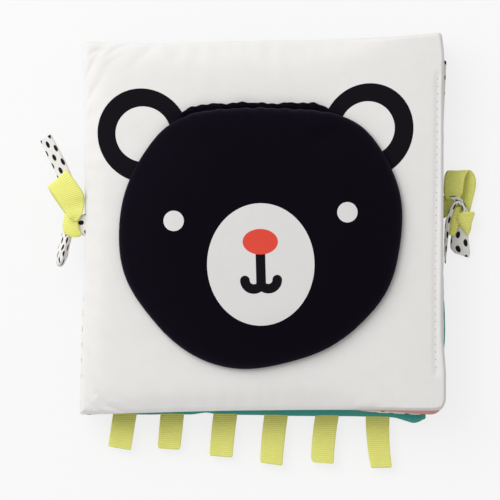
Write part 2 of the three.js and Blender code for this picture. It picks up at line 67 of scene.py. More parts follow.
MM = 0.001
MM_PER_PIXEL = 0.5336
ORIGIN_PIXEL = (263.2, 224.5)
PHOTO_PIXELS = 500

# Sine waves, each with its height, its rate and its shift
Ripples = tuple[tuple[float, float, float], ...]

# Where each joint's axis passes, in metres, and where the two folds lie, in millimetres
JOINT_PLACES = {joint["name"]: joint["pos_m"] for joint in frame["joints"]}
LEFT_FOLD_X, _, LEFT_FOLD_Z = (v / MM for v in JOINT_PLACES["middle_page_turn"])
RIGHT_FOLD_X, _, RIGHT_FOLD_Z = (v / MM for v in JOINT_PLACES["front_page_turn"])


# ---------------------------------------------------------------------------------------------
# Small helpers
# ---------------------------------------------------------------------------------------------


def from_photo(x: float, y: float) -> tuple[float, float]:
    """Place of a photograph pixel on the page plane.

    Args:
        x: Column in the photograph.
        y: Row in the photograph.

    Returns:
        The place across and up the page, in millimetres.
    """
    return (x - ORIGIN_PIXEL[0]) * MM_PER_PIXEL, (ORIGIN_PIXEL[1] - y) * MM_PER_PIXEL


def all_from_photo(pixels: Sequence[tuple[float, float]]) -> np.ndarray:
    """Places of several photograph pixels on the page plane, one row each."""
    return np.array([from_photo(*pixel) for pixel in pixels])


def smooth(share: np.ndarray | float) -> np.ndarray:
    """Ease from zero to one, level at both ends."""
    held = np.clip(share, 0.0, 1.0)
    return held * held * (3 - 2 * held)


def bump_at(distance: np.ndarray, reach: float) -> np.ndarray:
    """One at no distance, falling away like a bell over a reach."""
    return np.exp(-((distance / reach) ** 2))


def rippled(places: np.ndarray, ripples: Ripples) -> np.ndarray:
    """Sum of sine waves at places along a line or round a turn."""
    return sum(height * np.sin(places * rate + shift) for height, rate, shift in ripples)


def length_along(line: np.ndarray) -> np.ndarray:
    """Length of a line from its start to each of its points."""
    return np.concatenate([[0], np.cumsum(np.linalg.norm(np.diff(line, axis=0), axis=1))])


def at_lengths(line: np.ndarray, lengths: np.ndarray) -> np.ndarray:
    """Points of a line at lengths from its start."""
    reach = length_along(line)
    return np.stack([np.interp(lengths, reach, line[:, k]) for k in range(line.shape[1])], axis=1)


def along_line(line: np.ndarray, places: np.ndarray) -> np.ndarray:
    """Points at shares of a line's length."""
    return at_lengths(line, places * length_along(line)[-1])


def softened(places: Sequence[np.ndarray], count: int = 401, window: int = 9) -> np.ndarray:
    """A line through places with its bends a little rounded.

    Args:
        places: The places, in order.
        count: Points to return.
        window: How many neighbouring points are averaged.

    Returns:
        The line's points, with its ends kept.
    """
    line = along_line(np.array(places, float), np.linspace(0, 1, count))
    weights = np.hanning(window + 2)[1:-1]
    weights /= weights.sum()
    half = window // 2
    padded = np.pad(line, ((half, half), (0, 0)), mode="edge")
    soft = np.stack([np.convolve(padded[:, k], weights, "valid") for k in (0, 1)], axis=1)
    soft[0], soft[-1] = line[0], line[-1]
    return soft


def flowing(rows: Sequence[Sequence[float]], count: int) -> np.ndarray:
    """A smooth line through the rows.

    Args:
        rows: Places, one row each.
        count: Points to return, evenly shared between the rows.

    Returns:
        The line's points.
    """
    knots = np.asarray(rows, float)
    knots = np.concatenate([[2 * knots[0] - knots[1]], knots, [2 * knots[-1] - knots[-2]]])
    place = np.linspace(0, len(rows) - 1, count)
    index = np.minimum(place.astype(int), len(rows) - 2)
    t = (place - index)[:, None]
    a, b, c, d = (knots[index + k] for k in range(4))
    return 0.5 * (
        2 * b + (c - a) * t + (2 * a - 5 * b + 4 * c - d) * t**2 + (3 * b - a - 3 * c + d) * t**3
    )


def nearest_gaps(places: np.ndarray, line: np.ndarray) -> tuple[np.ndarray, np.ndarray]:
    """Distance of each place from a dense line's points, and the nearest point's number."""
    gaps = np.linalg.norm(places[:, None] - line[None], axis=2)
    return gaps.min(axis=1), gaps.argmin(axis=1)


# ---------------------------------------------------------------------------------------------
# Meshes
# ---------------------------------------------------------------------------------------------


def make_object(
    name: str,
    points: np.ndarray,
    faces: Sequence[Sequence[int]],
    materials: Sequence[bpy.types.Material],
    face_slots: np.ndarray | None = None,
    edges: Sequence[Sequence[int]] = (),
) -> bpy.types.Object:
    """Makes a smooth-shaded mesh object at the origin.

    Args:
        name: The object's name.
        points: Corner places in metres.
        faces: Corner numbers of each face, anticlockwise from outside.
        materials: The materials of its slots.
        face_slots: The slot of each face, if there are several.
        edges: Corner numbers of each edge without a face, if there are any.

    Returns:
        The object, linked to the scene.
    """
    mesh = bpy.data.meshes.new(name)
    places = np.asarray(points, float).tolist()
    mesh.from_pydata(places, list(edges), [list(face) for face in faces])
    for material in materials:
        mesh.materials.append(material)
    if face_slots is not None:
        mesh.polygons.foreach_set("material_index", np.asarray(face_slots, np.int32))
    mesh.polygons.foreach_set("use_smooth", [True] * len(mesh.polygons))
    mesh.update()
    obj = bpy.data.objects.new(name, mesh)
    bpy.context.scene.collection.objects.link(obj)
    return obj


def finish_piece(
    piece: bpy.types.Object, body: str | None, nodes: Sequence[str] = ()
) -> bpy.types.Object:
    """Says what a finished piece stands for and rides on.

    Args:
        piece: The piece.
        body: The body that it rides on, or None to leave it on no body.
        nodes: The CAD nodes that it stands for.

    Returns:
        The same piece.
    """
    if nodes:
        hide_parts(*nodes)
    if body:
        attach(piece, body)
    log.info("%s: %d faces", piece.name, len(piece.data.polygons))
    return piece


def baked(obj: bpy.types.Object) -> bpy.types.Object:
    """Turns an object's live modifiers into plain mesh.

    Args:
        obj: The object, whose modifiers are applied and removed.

    Returns:
        The same object.
    """
    graph = bpy.context.evaluated_depsgraph_get()
    mesh = bpy.data.meshes.new_from_object(
        obj.evaluated_get(graph), preserve_all_data_layers=True, depsgraph=graph
    )
    old = obj.data
    obj.modifiers.clear()
    obj.data = mesh
    bpy.data.meshes.remove(old)
    mesh.name = obj.name
    return obj


def subdivided(obj: bpy.types.Object, levels: int = 1) -> bpy.types.Object:
    """Subdivides an object smoothly and bakes the result."""
    modifier = obj.modifiers.new("Soften", "SUBSURF")
    modifier.levels = modifier.render_levels = levels
    return baked(obj)


def coordinates(mesh: bpy.types.Mesh) -> np.ndarray:
    """The mesh's points as an array of rows."""
    flat = np.empty(len(mesh.vertices) * 3)
    mesh.vertices.foreach_get("co", flat)
    return flat.reshape(-1, 3)


def set_coordinates(mesh: bpy.types.Mesh, points: np.ndarray) -> None:
    """Writes an array of rows back to the mesh's points."""
    mesh.vertices.foreach_set("co", np.asarray(points, float).ravel())
    mesh.update()


def set_cloth_map(mesh: bpy.types.Mesh, places: np.ndarray) -> None:
    """Writes where each face corner lies on its flat cloth, in metres."""
    layer = mesh.uv_layers.new(name="cloth")
    layer.data.foreach_set("uv", np.asarray(places, np.float32).ravel())


def volume_of(points: np.ndarray, faces: Sequence[Sequence[int]]) -> float:
    """Volume inside a closed mesh.

    Args:
        points: Corner places.
        faces: Corner numbers of each face.

    Returns:
        The volume, below zero where the faces point inwards.
    """
    total = 0.0
    for face in faces:
        corners = points[list(face)]
        fan = np.cross(corners[1:-1], corners[2:])
        total += float((fan @ corners[0]).sum())
    return total / 6


def tube_faces(rings: int, sides: int) -> list[list[int]]:
    """Faces of a closed tube whose rings turn anticlockwise about its way forward.

    Args:
        rings: Rings of points along the tube.
        sides: Points round each ring.

    Returns:
        The walls' faces and the two ends.
    """
    faces = [
        [r * sides + k, r * sides + (k + 1) % sides,
         (r + 1) * sides + (k + 1) % sides, (r + 1) * sides + k]
        for r in range(rings - 1)
        for k in range(sides)
    ]
    last = (rings - 1) * sides
    return faces + [list(range(sides))[::-1], [last + k for k in range(sides)]]


# ---------------------------------------------------------------------------------------------
# Node trees
# ---------------------------------------------------------------------------------------------


def add_node(
    tree: bpy.types.NodeTree, kind: str, inputs: dict | None = None, **settings: object
) -> bpy.types.Node:
    """Adds a node with its settings and its links.

    Args:
        tree: The tree that the node goes into.
        kind: The node's type.
        inputs: Values or output sockets by input name or number.
        settings: Properties of the node.

    Returns:
        The new node.
    """
    node = tree.nodes.new(kind)
    for name, value in settings.items():
        setattr(node, name, value)
    for name, value in (inputs or {}).items():
        if isinstance(value, bpy.types.NodeSocket):
            tree.links.new(value, node.inputs[name])
        else:
            node.inputs[name].default_value = value
    return node


def maths(
    tree: bpy.types.NodeTree, operation: str, *values: object,
    kind: str = "ShaderNodeMath", **settings: object,
) -> bpy.types.NodeSocket:
    """Adds a node that works something out.

    Args:
        tree: The tree that the node goes into.
        operation: What it does.
        values: Its inputs, in order.
        kind: The node's type.
        settings: Its other properties.

    Returns:
        Its first output.
    """
    inputs = dict(enumerate(values))
    return add_node(tree, kind, inputs, operation=operation, **settings).outputs[0]


def mixed(tree: bpy.types.NodeTree, *values: object) -> bpy.types.NodeSocket:
    """Mixes two colours, given their share, the first and the second."""
    inputs = dict(zip(("Factor", 6, 7), values))
    return add_node(tree, "ShaderNodeMix", inputs, data_type="RGBA").outputs[2]


def noise(
    tree: bpy.types.NodeTree, place: bpy.types.NodeSocket, size: float,
    detail: float = 2.0, roughness: float = 0.5,
) -> bpy.types.NodeSocket:
    """Cloudy noise whose clouds are about a size in metres across."""
    inputs = {"Vector": place, "Scale": 1 / size, "Detail": detail, "Roughness": roughness}
    return add_node(tree, "ShaderNodeTexNoise", inputs).outputs["Fac"]


def waves(
    tree: bpy.types.NodeTree, place: bpy.types.NodeSocket, period: float,
    direction: str, distortion: float = 0.0,
) -> bpy.types.NodeSocket:
    """Bands that repeat at a length in metres."""
    inputs = {"Vector": place, "Scale": math.pi / 10 / period, "Distortion": distortion}
    return add_node(tree, "ShaderNodeTexWave", inputs, bands_direction=direction).outputs["Fac"]


def add_bump(shader: bpy.types.Node, height: bpy.types.NodeSocket, strength: float,
             distance: float) -> None:
    """Bumps a shader's surface by a height, full at a distance in metres."""
    tree = shader.id_data
    inputs = {"Strength": strength, "Distance": distance, "Height": height}
    bump = add_node(tree, "ShaderNodeBump", inputs)
    tree.links.new(bump.outputs[0], shader.inputs["Normal"])


def new_group(name: str, numbers: Sequence[str]) -> tuple[bpy.types.NodeTree, Any]:
    """A geometry node group that takes a geometry, numbers and a material.

    Args:
        name: The group's name.
        numbers: Names of its number inputs.

    Returns:
        The group, and the sockets that give its inputs.
    """
    tree = bpy.data.node_groups.new(name, "GeometryNodeTree")
    sockets = [("Geometry", "INPUT", "Geometry")]
    sockets += [(number, "INPUT", "Float") for number in numbers]
    sockets += [("Finish", "INPUT", "Material"), ("Geometry", "OUTPUT", "Geometry")]
    for label, way, kind in sockets:
        tree.interface.new_socket(label, in_out=way, socket_type=f"NodeSocket{kind}")
    return tree, add_node(tree, "NodeGroupInput").outputs


def close_group(tree: bpy.types.NodeTree, geometry: bpy.types.NodeSocket, given: Any) -> None:
    """Dresses a group's geometry in its material and puts it out."""
    real = add_node(tree, "GeometryNodeRealizeInstances", {0: geometry})
    dressed = add_node(
        tree, "GeometryNodeSetMaterial",
        {"Geometry": real.outputs[0], "Material": given["Finish"]},
    )
    add_node(tree, "NodeGroupOutput", {0: dressed.outputs[0]})


def run_group(obj: bpy.types.Object, tree: bpy.types.NodeTree, values: dict) -> None:
    """Runs a geometry node group on an object and bakes what comes out.

    Args:
        obj: The object.
        tree: The group.
        values: Its inputs by name.
    """
    modifier = obj.modifiers.new(tree.name, "NODES")
    modifier.node_group = tree
    for item in tree.interface.items_tree:
        if item.item_type == "SOCKET" and item.name in values:
            modifier[item.identifier] = values[item.name]
    baked(obj)


# ---------------------------------------------------------------------------------------------
# Finishes
# ---------------------------------------------------------------------------------------------


def linear(hex_colour: str) -> tuple[float, float, float, float]:
    """Linear colour of an sRGB hex value.

    Args:
        hex_colour: Six hex digits with a leading #.

    Returns:
        Red, green, blue and an alpha of one.
    """
    shares = [int(hex_colour[i : i + 2], 16) / 255 for i in (1, 3, 5)]
    bent = [c / 12.92 if c <= 0.04045 else ((c + 0.055) / 1.055) ** 2.4 for c in shares]
    return (*bent, 1.0)


def new_material(name: str, constants: dict) -> tuple[bpy.types.Material, bpy.types.Node]:
    """A material with one Principled shader.

    Args:
        name: The material's name.
        constants: Values of the shader's inputs by name.

    Returns:
        The material, and its shader linked to the output.
    """
    material = bpy.data.materials.new(name)
    material.use_nodes = True
    tree = material.node_tree
    tree.nodes.clear()
    shader = add_node(tree, "ShaderNodeBsdfPrincipled", constants)
    add_node(tree, "ShaderNodeOutputMaterial", {"Surface": shader.outputs[0]})
    return material, shader


@dataclass(frozen=True)
class WovenCloth:
    """Plain-woven cotton or polyester: matt, with crossed threads and a faint cloudiness.

    Lengths are in metres. The dots are ovals in staggered rows on the cloth's own map.
    """

    name: str
    colour: str
    shade: str
    thread: float = 0.42 * MM
    cloud: float = 9 * MM
    cloud_share: float = 0.5
    roughness: float = 0.86
    sheen: float = 0.08
    sheen_colour: str = "#FFFFFF"
    grain: float = 0.35
    relief: float = 0.05 * MM
    specular: float = 0.2
    dot_pitch: tuple[float, float] | None = None
    dot_size: tuple[float, float] = (1.6 * MM, 1.6 * MM)
    dot_colour: str = "#17141B"

    def build(self) -> bpy.types.Material:
        """Builds the material's nodes.

        Returns:
            The material.
        """
        material, shader = new_material(
            self.name,
            {
                "Roughness": self.roughness, "IOR": 1.46, "Specular IOR Level": self.specular,
                "Sheen Weight": self.sheen, "Sheen Roughness": 0.5,
                "Sheen Tint": linear(self.sheen_colour),
            },
        )
        tree = material.node_tree
        place = add_node(tree, "ShaderNodeTexCoord").outputs["Object"]
        clouds = noise(tree, place, self.cloud, 3.0, 0.55)
        fibres = noise(tree, place, self.thread / 0.35, 2.0, 0.6)
        cloudy = maths(tree, "MULTIPLY", clouds, self.cloud_share)
        share = maths(tree, "MULTIPLY_ADD", fibres, self.grain, cloudy)
        base = mixed(tree, share, linear(self.colour), linear(self.shade))
        if self.dot_pitch:
            base = self._dots(tree, base)
        tree.links.new(base, shader.inputs["Base Color"])
        warp, weft = (waves(tree, place, self.thread, way, 0.4) for way in "XY")
        weave = maths(tree, "MULTIPLY", warp, weft)
        add_bump(shader, maths(tree, "MULTIPLY_ADD", fibres, 0.8, weave), 0.55, self.relief)
        return material

    def _dots(
        self, tree: bpy.types.NodeTree, base: bpy.types.NodeSocket
    ) -> bpy.types.NodeSocket:
        """Lays staggered oval dots over the base colour.

        Args:
            tree: The material's tree.
            base: The cloth's own colour.

        Returns:
            The colour with dots.
        """
        cloth = add_node(tree, "ShaderNodeUVMap", uv_map="cloth").outputs[0]
        across, along = self.dot_pitch
        stretch = (across / self.dot_size[0], along / self.dot_size[1], 0.0)
        vector = "ShaderNodeVectorMath"
        gaps = []
        for shift in (0.0, 0.5):
            placing = {
                "Vector": cloth,
                "Location": (shift, shift, 0.0),
                "Scale": (1 / across, 1 / along, 0.0),
            }
            moved = add_node(tree, "ShaderNodeMapping", placing).outputs[0]
            cell = maths(tree, "FRACTION", moved, kind=vector)
            centred = maths(tree, "SUBTRACT", cell, (0.5, 0.5, 0.0), kind=vector)
            sized = maths(tree, "MULTIPLY", centred, stretch, kind=vector)
            gap = add_node(tree, vector, {0: sized}, operation="LENGTH")
            gaps.append(gap.outputs["Value"])
        nearest = maths(tree, "MINIMUM", *gaps)
        edge = {0: nearest, 1: 0.9, 2: 1.1, 3: 1.0, 4: 0.0}
        inside = add_node(tree, "ShaderNodeMapRange", edge).outputs[0]
        return mixed(tree, inside, base, linear(self.dot_colour))


@dataclass(frozen=True)
class Grosgrain:
    """Ribbed polyester ribbon: the ribs are in the mesh, the fine warp threads in the bump; the
    darker colour is mixed in as random mottle and as painted shade between the ribs.
    """

    name: str
    colour: str
    # The darker colour, used for random mottle and for painted shade between the ribs
    shade: str
    thread: float = 0.3 * MM
    mottle: float = 3.846 * MM
    relief: float = 0.04 * MM
    roughness: float = 0.62
    sheen_colour: str = "#FBFBC0"

    def build(self) -> bpy.types.Material:
        """Builds the material's nodes.

        Returns:
            The material.
        """
        material, shader = new_material(
            self.name,
            {
                "Roughness": self.roughness, "Specular IOR Level": 0.3, "Sheen Weight": 0.15,
                "Sheen Roughness": 0.4, "Sheen Tint": linear(self.sheen_colour),
            },
        )
        tree = material.node_tree
        cloth = add_node(tree, "ShaderNodeUVMap", uv_map="cloth").outputs[0]
        place = add_node(tree, "ShaderNodeTexCoord").outputs["Object"]
        # The shade colour comes in by a random mottle and by the painted shade between the ribs
        # that the rib tree stores
        groove = add_node(tree, "ShaderNodeAttribute", attribute_name="groove").outputs["Fac"]
        mottle = noise(tree, place, self.mottle)
        share = maths(tree, "MULTIPLY_ADD", mottle, 0.3, groove, use_clamp=True)
        base = mixed(tree, share, linear(self.colour), linear(self.shade))
        tree.links.new(base, shader.inputs["Base Color"])
        add_bump(shader, waves(tree, cloth, self.thread, "X", 0.3), 0.4, self.relief)
        return material


@dataclass(frozen=True)
class Thread:
    """Spun polyester sewing thread, or the painted shadow in a needle hole."""

    name: str
    colour: str
    roughness: float = 0.7
    twist: float = 0.25 * MM
    relief: float = 0.03 * MM

    def build(self) -> bpy.types.Material:
        """Builds the material's nodes.

        Returns:
            The material.
        """
        constants = {"Base Color": linear(self.colour), "Roughness": self.roughness}
        material, shader = new_material(self.name, constants)
        tree = material.node_tree
        place = add_node(tree, "ShaderNodeTexCoord").outputs["Object"]
        add_bump(shader, waves(tree, place, self.twist, "DIAGONAL"), 0.5, self.relief)
        return material


def made_of(finish: WovenCloth | Grosgrain | Thread) -> bpy.types.Material:
    """A field that builds its material when the book's finishes are made."""
    return field(default_factory=finish.build)


@dataclass
class Finishes:
    """Every material of the book, by what the real piece is made of."""

    # Bleached polyester plain weave: matt, warm white, faintly cloudy where the filling shows
    cover: bpy.types.Material = made_of(WovenCloth("bleached_plain_weave", "#E9E8E6", "#DEDCD9"))
    # Dyed plain weave of the back page: matt blue-green
    teal: bpy.types.Material = made_of(WovenCloth("teal_plain_weave", "#4DB0A5", "#42978E"))
    # Dyed plain weave of the front page's lining: matt pink
    coral: bpy.types.Material = made_of(WovenCloth("coral_plain_weave", "#DDA297", "#CF9085"))
    # White plain weave printed with small black dots
    dotted: bpy.types.Material = made_of(
        WovenCloth(
            "dotted_plain_weave", "#ECEAE4", "#DDDAD2", dot_pitch=(8.572 * MM, 8.427 * MM)
        )
    )
    # Black satin-faced polyester: near black, with a dull blue sheen where light grazes it
    bear: bpy.types.Material = made_of(
        WovenCloth(
            "black_satin_weave", "#0B0710", "#06030A", thread=0.5 * MM, cloud=24 * MM,
            roughness=0.8, sheen=0.32, sheen_colour="#74688A", relief=0.07 * MM, specular=0.04,
        )
    )
    # Black ink that sank into the white weave
    black_ink: bpy.types.Material = made_of(
        WovenCloth(
            "black_ink_on_weave", "#151118", "#0F0C12", sheen=0.03, roughness=0.85, specular=0.08
        )
    )
    # Weave left white by the print
    white_print: bpy.types.Material = made_of(
        WovenCloth("unprinted_white_weave", "#DDDCDB", "#D2D1CF", sheen=0.03)
    )
    # Red ink in the weave
    red_ink: bpy.types.Material = made_of(
        WovenCloth("red_ink_on_weave", "#E04D3E", "#D54436", sheen=0.03)
    )
    # Lime grosgrain ribbon, its second colour used for random mottle and for painted shade between
    # its ribs
    lime: bpy.types.Material = made_of(Grosgrain("lime_grosgrain", "#F2F289", "#DAD970"))
    # Folded cotton tape printed with black ovals
    tape: bpy.types.Material = made_of(
        WovenCloth(
            "dotted_cotton_tape", "#EFEDEA", "#DDD9D4", thread=0.3 * MM, cloud=4 * MM,
            dot_pitch=(7.6 * MM, 7.8 * MM), dot_size=(1.15 * MM, 1.9 * MM),
        )
    )
    # White sewing thread
    thread: bpy.types.Material = made_of(Thread("white_sewing_thread", "#ECEAE6"))
    # Shadow in a needle hole
    hole: bpy.types.Material = made_of(Thread("needle_hole_shadow", "#A8A49E", roughness=0.9))


# ---------------------------------------------------------------------------------------------
# Pads
# ---------------------------------------------------------------------------------------------

# How the cloth of a sewn pad behaves while it is stuffed, at ten times its size
CLOTH_SETTINGS = {
    "quality": 6,
    "mass": 0.3,
    "tension_stiffness": 30,
    "compression_stiffness": 30,
    "shear_stiffness": 12,
    "bending_stiffness": 0.4,
    "air_damping": 4,
    "use_pressure": True,
    "uniform_pressure_force": 4.0,
    "vertex_group_mass": "seams",
}
WORK_SCALE = 10.0
STUFFING_FRAMES = 20
MOST_SWELL = 12 * MM


def inflated(obj: bpy.types.Object, pinned: np.ndarray, spare_cloth: float) -> np.ndarray:
    """Swells a closed cloth pad between its seams with a cloth simulation.

    Args:
        obj: The pad, whose mesh is left as it is.
        pinned: True for each point that the seams hold.
        spare_cloth: How much longer the cloth is than the pad, as a share.

    Returns:
        The points' new places in metres.
    """
    start = coordinates(obj.data)
    work = obj.copy()
    work.data = obj.data.copy()
    scene = bpy.context.scene
    scene.collection.objects.link(work)
    set_coordinates(work.data, start * WORK_SCALE)
    seams = work.vertex_groups.new(name="seams")
    seams.add(np.flatnonzero(pinned).tolist(), 1.0, "REPLACE")
    cloth = work.modifiers.new("Stuffing", "CLOTH")
    for name, value in CLOTH_SETTINGS.items():
        setattr(cloth.settings, name, value)
    cloth.settings.shrink_min = -spare_cloth
    cloth.settings.effector_weights.gravity = 0
    cloth.collision_settings.use_collision = False
    cloth.point_cache.frame_start = 1
    cloth.point_cache.frame_end = STUFFING_FRAMES
    for step in range(1, STUFFING_FRAMES + 1):
        scene.frame_set(step)
    graph = bpy.context.evaluated_depsgraph_get()
    swollen = coordinates(work.evaluated_get(graph).data) / WORK_SCALE
    bpy.data.objects.remove(work)
    scene.frame_set(1)
    travel = swollen - start
    length = np.linalg.norm(travel, axis=1, keepdims=True)
    return start + travel * np.minimum(1.0, MOST_SWELL / np.maximum(length, 1e-9))


def eased_over(lift: np.ndarray, limit: float) -> np.ndarray:
    """A share that is kept up to a limit and then eases towards one without reaching it."""
    rest = 1 - limit
    return np.where(lift > limit, limit + rest * np.tanh((lift - limit) / rest), lift)


class Pillow:
    """Two sheets of quads over one square of cells, joined along their shared edge."""

    # Lines next to a seam are too bent to measure, so the first one past this number is used
    bent_lines = 6

    def __init__(self, plan: np.ndarray) -> None:
        """Numbers the points of both sheets.

        Args:
            plan: Places across and up of every grid point, shaped rows by columns by two.
        """
        self.rows, self.columns = plan.shape[:2]
        count = self.rows * self.columns
        self.edge = np.ones((self.rows, self.columns), bool)
        self.edge[1:-1, 1:-1] = False
        inside = ~self.edge
        self.upper = np.arange(count).reshape(self.rows, self.columns)
        self.lower = self.upper.copy()
        self.lower[inside] = count + np.arange(inside.sum())
        self.plan = self.spread(plan)
        self.is_upper = np.arange(len(self.plan)) < count
        self.on_seam = np.zeros(len(self.plan), bool)
        self.on_seam[:count] = self.edge.ravel()

    def spread(self, values: np.ndarray) -> np.ndarray:
        """Values of the grid's points as values of both sheets' points."""
        rest = values.shape[2:]
        return np.concatenate([values.reshape(-1, *rest), values[~self.edge]])

    def faces(self) -> tuple[list[list[int]], np.ndarray]:
        """The quads of both sheets.

        Returns:
            The faces, and 0 for each face of the upper sheet and 1 for each of the lower.
        """
        quads: list[list[int]] = []
        for sheet, order in ((self.upper, 1), (self.lower, -1)):
            quads += self._corners(sheet)[:, ::order].tolist()
        return quads, np.repeat([0, 1], len(quads) // 2)

    @staticmethod
    def _corners(grid: np.ndarray) -> np.ndarray:
        """Values at the four corners of each of a grid's cells, anticlockwise."""
        corners = [grid[:-1, :-1], grid[:-1, 1:], grid[1:, 1:], grid[1:, :-1]]
        return np.stack(corners, axis=2).reshape(-1, 4, *grid.shape[2:])

    def cloth_map(self, points: np.ndarray) -> np.ndarray:
        """Where each face corner lies on its flat cloth.

        Args:
            points: The places of both sheets' points.

        Returns:
            Lengths along the cloth, across from its middle and up from its foot.
        """

        def climb(lines: np.ndarray) -> np.ndarray:
            """How much longer each line has become by its height, from its start."""
            steps = np.linalg.norm(np.diff(lines, axis=1), axis=2)
            steps -= np.linalg.norm(np.diff(lines[..., :2], axis=1), axis=2)
            gained = np.pad(np.cumsum(steps, axis=1), ((0, 0), (1, 0)))
            last = len(lines) - 1 - self.bent_lines
            return gained[np.clip(np.arange(len(lines)), self.bent_lines, last)]

        maps = []
        for sheet, order in ((self.upper, 1), (self.lower, -1)):
            grid = points[sheet]
            across, up = climb(grid), climb(grid.transpose(1, 0, 2)).T
            flat = grid[..., :2].copy()
            flat[..., 0] += across - across[:, self.columns // 2, None]
            flat[..., 1] += up
            maps.append(self._corners(flat)[:, ::order])
        return np.concatenate(maps).reshape(-1, 2)


# ---------------------------------------------------------------------------------------------
# Pages
# ---------------------------------------------------------------------------------------------


class Side(Enum):
    """The sides of a page, anticlockwise from its foot."""

    FOOT = 0
    RIGHT = 1
    HEAD = 2
    LEFT = 3


@dataclass
class PagePad:
    """One padded page: two cloths sewn round their edges, in millimetres.

    Its corners and the places between them along each side are photograph pixels. A fold is 1
    where the page's seam rises to it, -1 where it drops to it and 0 on a free side.
    """

    name: str
    body: str
    level: float
    corners: list[tuple[float, float]]
    radii: list[float]
    left_fold: int
    right_fold: int
    nodes: list[str]
    slot: str
    edges: dict[Side, list[tuple[float, float]]]
    cells: tuple[int, int]
    roll_from: tuple[float, float] | None = None
    foot_trim: float = 0.0
    fill: float = 0.5
    spare_cloth: float = 0.02
    thickness: float = 9.6
    gap: float = 0.4
    seam_thickness: float = 1.9
    seam_slack: float = 0.15
    # How far in from a soft seam, and from a steep one, the page is full
    crown_reach: float = 42.0
    steep_reach: float = 2.2
    # Where the page turns from soft to steep on its way to a right fold, before the fold
    steep_from: float = 70.0
    steep_within: float = 50.0
    # Share of the simulated puckers in the page, and how much of it a fold takes away
    pucker: float = 0.5
    flattened: float = 0.85
    flat_from: float = 45.0
    flat_within: float = 28.0
    # Share of its height that the cloth reaches freely before it eases off
    free_lift: float = 0.6
    # How far in from the seam the two cloths part
    parting: float = 2.5
    # How far from a fold its seam bends to it
    fold_reach: float = 20.0
    # Cloth of the upper side that is turned round the seam onto the lower side, and where
    # it ends along the foot
    border: float = 4.5
    border_end: float = 28.0
    border_narrows: float = 10.0
    border_gone: float = 12.0
    foot_height: float = -85.0
    # How quickly the rolled foot starts, how far up it reaches, and the reach of its
    # upper and its lower cloth
    roll_start: float = 5.0
    roll_height: float = 12.0
    roll_upper: float = 4.0
    roll_lower: float = 1.2
    full_roll: float = 1.5
    least_roll: float = 0.25
    # How much closer together the grid's lines are near the seams
    crowding: float = 0.11
    corner_steps: int = 16
    side_samples: int = 600

    def outline(self) -> list[np.ndarray]:
        """The four sides as dense lines, from the middle of one round corner to the next.

        Returns:
            One array of places for each side, foot first.
        """
        points = all_from_photo(self.corners)
        arcs = []
        for index, corner in enumerate(points):
            before, after = points[index - 1], points[(index + 1) % 4]
            run_in = (corner - before) / np.linalg.norm(corner - before)
            run_out = (after - corner) / np.linalg.norm(after - corner)
            inward_in = np.array([-run_in[1], run_in[0]])
            inward_out = np.array([-run_out[1], run_out[0]])
            radius = self.radii[index]
            centre = corner + (inward_in + inward_out) * radius / (1 + inward_in @ inward_out)
            start = math.atan2(-inward_in[1], -inward_in[0])
            turn = math.atan2(
                inward_in[0] * inward_out[1] - inward_in[1] * inward_out[0],
                inward_in @ inward_out,
            )
            angles = start + turn * np.linspace(0, 1, self.corner_steps + 1)
            arcs.append(centre + radius * np.stack([np.cos(angles), np.sin(angles)], axis=1))
        half = self.corner_steps // 2
        sides = []
        for side in Side:
            arc, after = arcs[side.value], arcs[(side.value + 1) % 4]
            via = [from_photo(*place) for place in self.edges.get(side, [])]
            between = softened([arc[-1], *via, after[0]])
            sides.append(np.concatenate([arc[half:-1], between, after[1 : half + 1]]))
        return sides

    def grid(self) -> np.ndarray:
        """Places of a grid over the page, closer together near the seams."""
        shares = [np.linspace(0, 1, count + 1) for count in self.cells]
        across, along = (s - self.crowding * np.sin(2 * np.pi * s) for s in shares)
        foot, right, head, left = self.outline()
        low, high = along_line(foot, across), along_line(head[::-1], across)
        start, end = along_line(left[::-1], along), along_line(right, along)
        u, v = across[None, :, None], along[:, None, None]
        ruled = (1 - v) * low[None] + v * high[None]
        crossed = (1 - u) * start[:, None] + u * end[:, None]
        corners = (
            (1 - u) * (1 - v) * low[0] + u * (1 - v) * low[-1]
            + (1 - u) * v * high[0] + u * v * high[-1]
        )
        return ruled + crossed - corners

    def inset(self, places: np.ndarray, sides: list[np.ndarray]) -> np.ndarray:
        """Distance of each place from the nearest of some sides.

        Args:
            places: The places.
            sides: The sides, as dense lines.

        Returns:
            The distances.
        """
        distance = np.full(len(places), np.inf)
        for side in sides:
            line = along_line(side, np.linspace(0, 1, self.side_samples))
            for part in np.array_split(np.arange(len(places)), 4):
                gaps, _ = nearest_gaps(places[part], line)
                distance[part] = np.minimum(distance[part], gaps)
        return distance

    def crown(self, places: np.ndarray) -> np.ndarray:
        """How full the page is.

        Args:
            places: Places on the page.

        Returns:
            0 at the seams and 1 inside, steep beside a right fold.
        """

        def full(inset: np.ndarray, reach: float) -> np.ndarray:
            """Fullness at a distance from a seam."""
            return 1 - (1 - np.minimum(inset / reach, 1)) ** 3

        sides = self.outline()
        if not self.right_fold:
            return full(self.inset(places, sides), self.crown_reach)
        fold = sides.pop(Side.RIGHT.value)
        at_fold, free = self.inset(places, [fold]), self.inset(places, sides)
        start = RIGHT_FOLD_X - self.steep_from
        near_fold = smooth((places[:, 0] - start) / self.steep_within)
        soft, steep = full(free, self.crown_reach), np.sqrt(full(free, self.steep_reach))
        return (soft + (steep - soft) * near_fold) * np.sqrt(full(at_fold, self.steep_reach))

    def seam_height(self, x: np.ndarray) -> np.ndarray:
        """Height of the seam.

        Args:
            x: Places across the page.

        Returns:
            The heights, which drop or rise to the fold at a folded side.
        """
        travel = (self.thickness + self.gap - self.seam_thickness) / 2 - self.seam_slack
        left = smooth((LEFT_FOLD_X + self.fold_reach - x) / self.fold_reach)
        right = smooth((x - RIGHT_FOLD_X + self.fold_reach) / self.fold_reach)
        fold = self.left_fold * left + self.right_fold * right
        return self.level + self.thickness / 2 + travel * fold

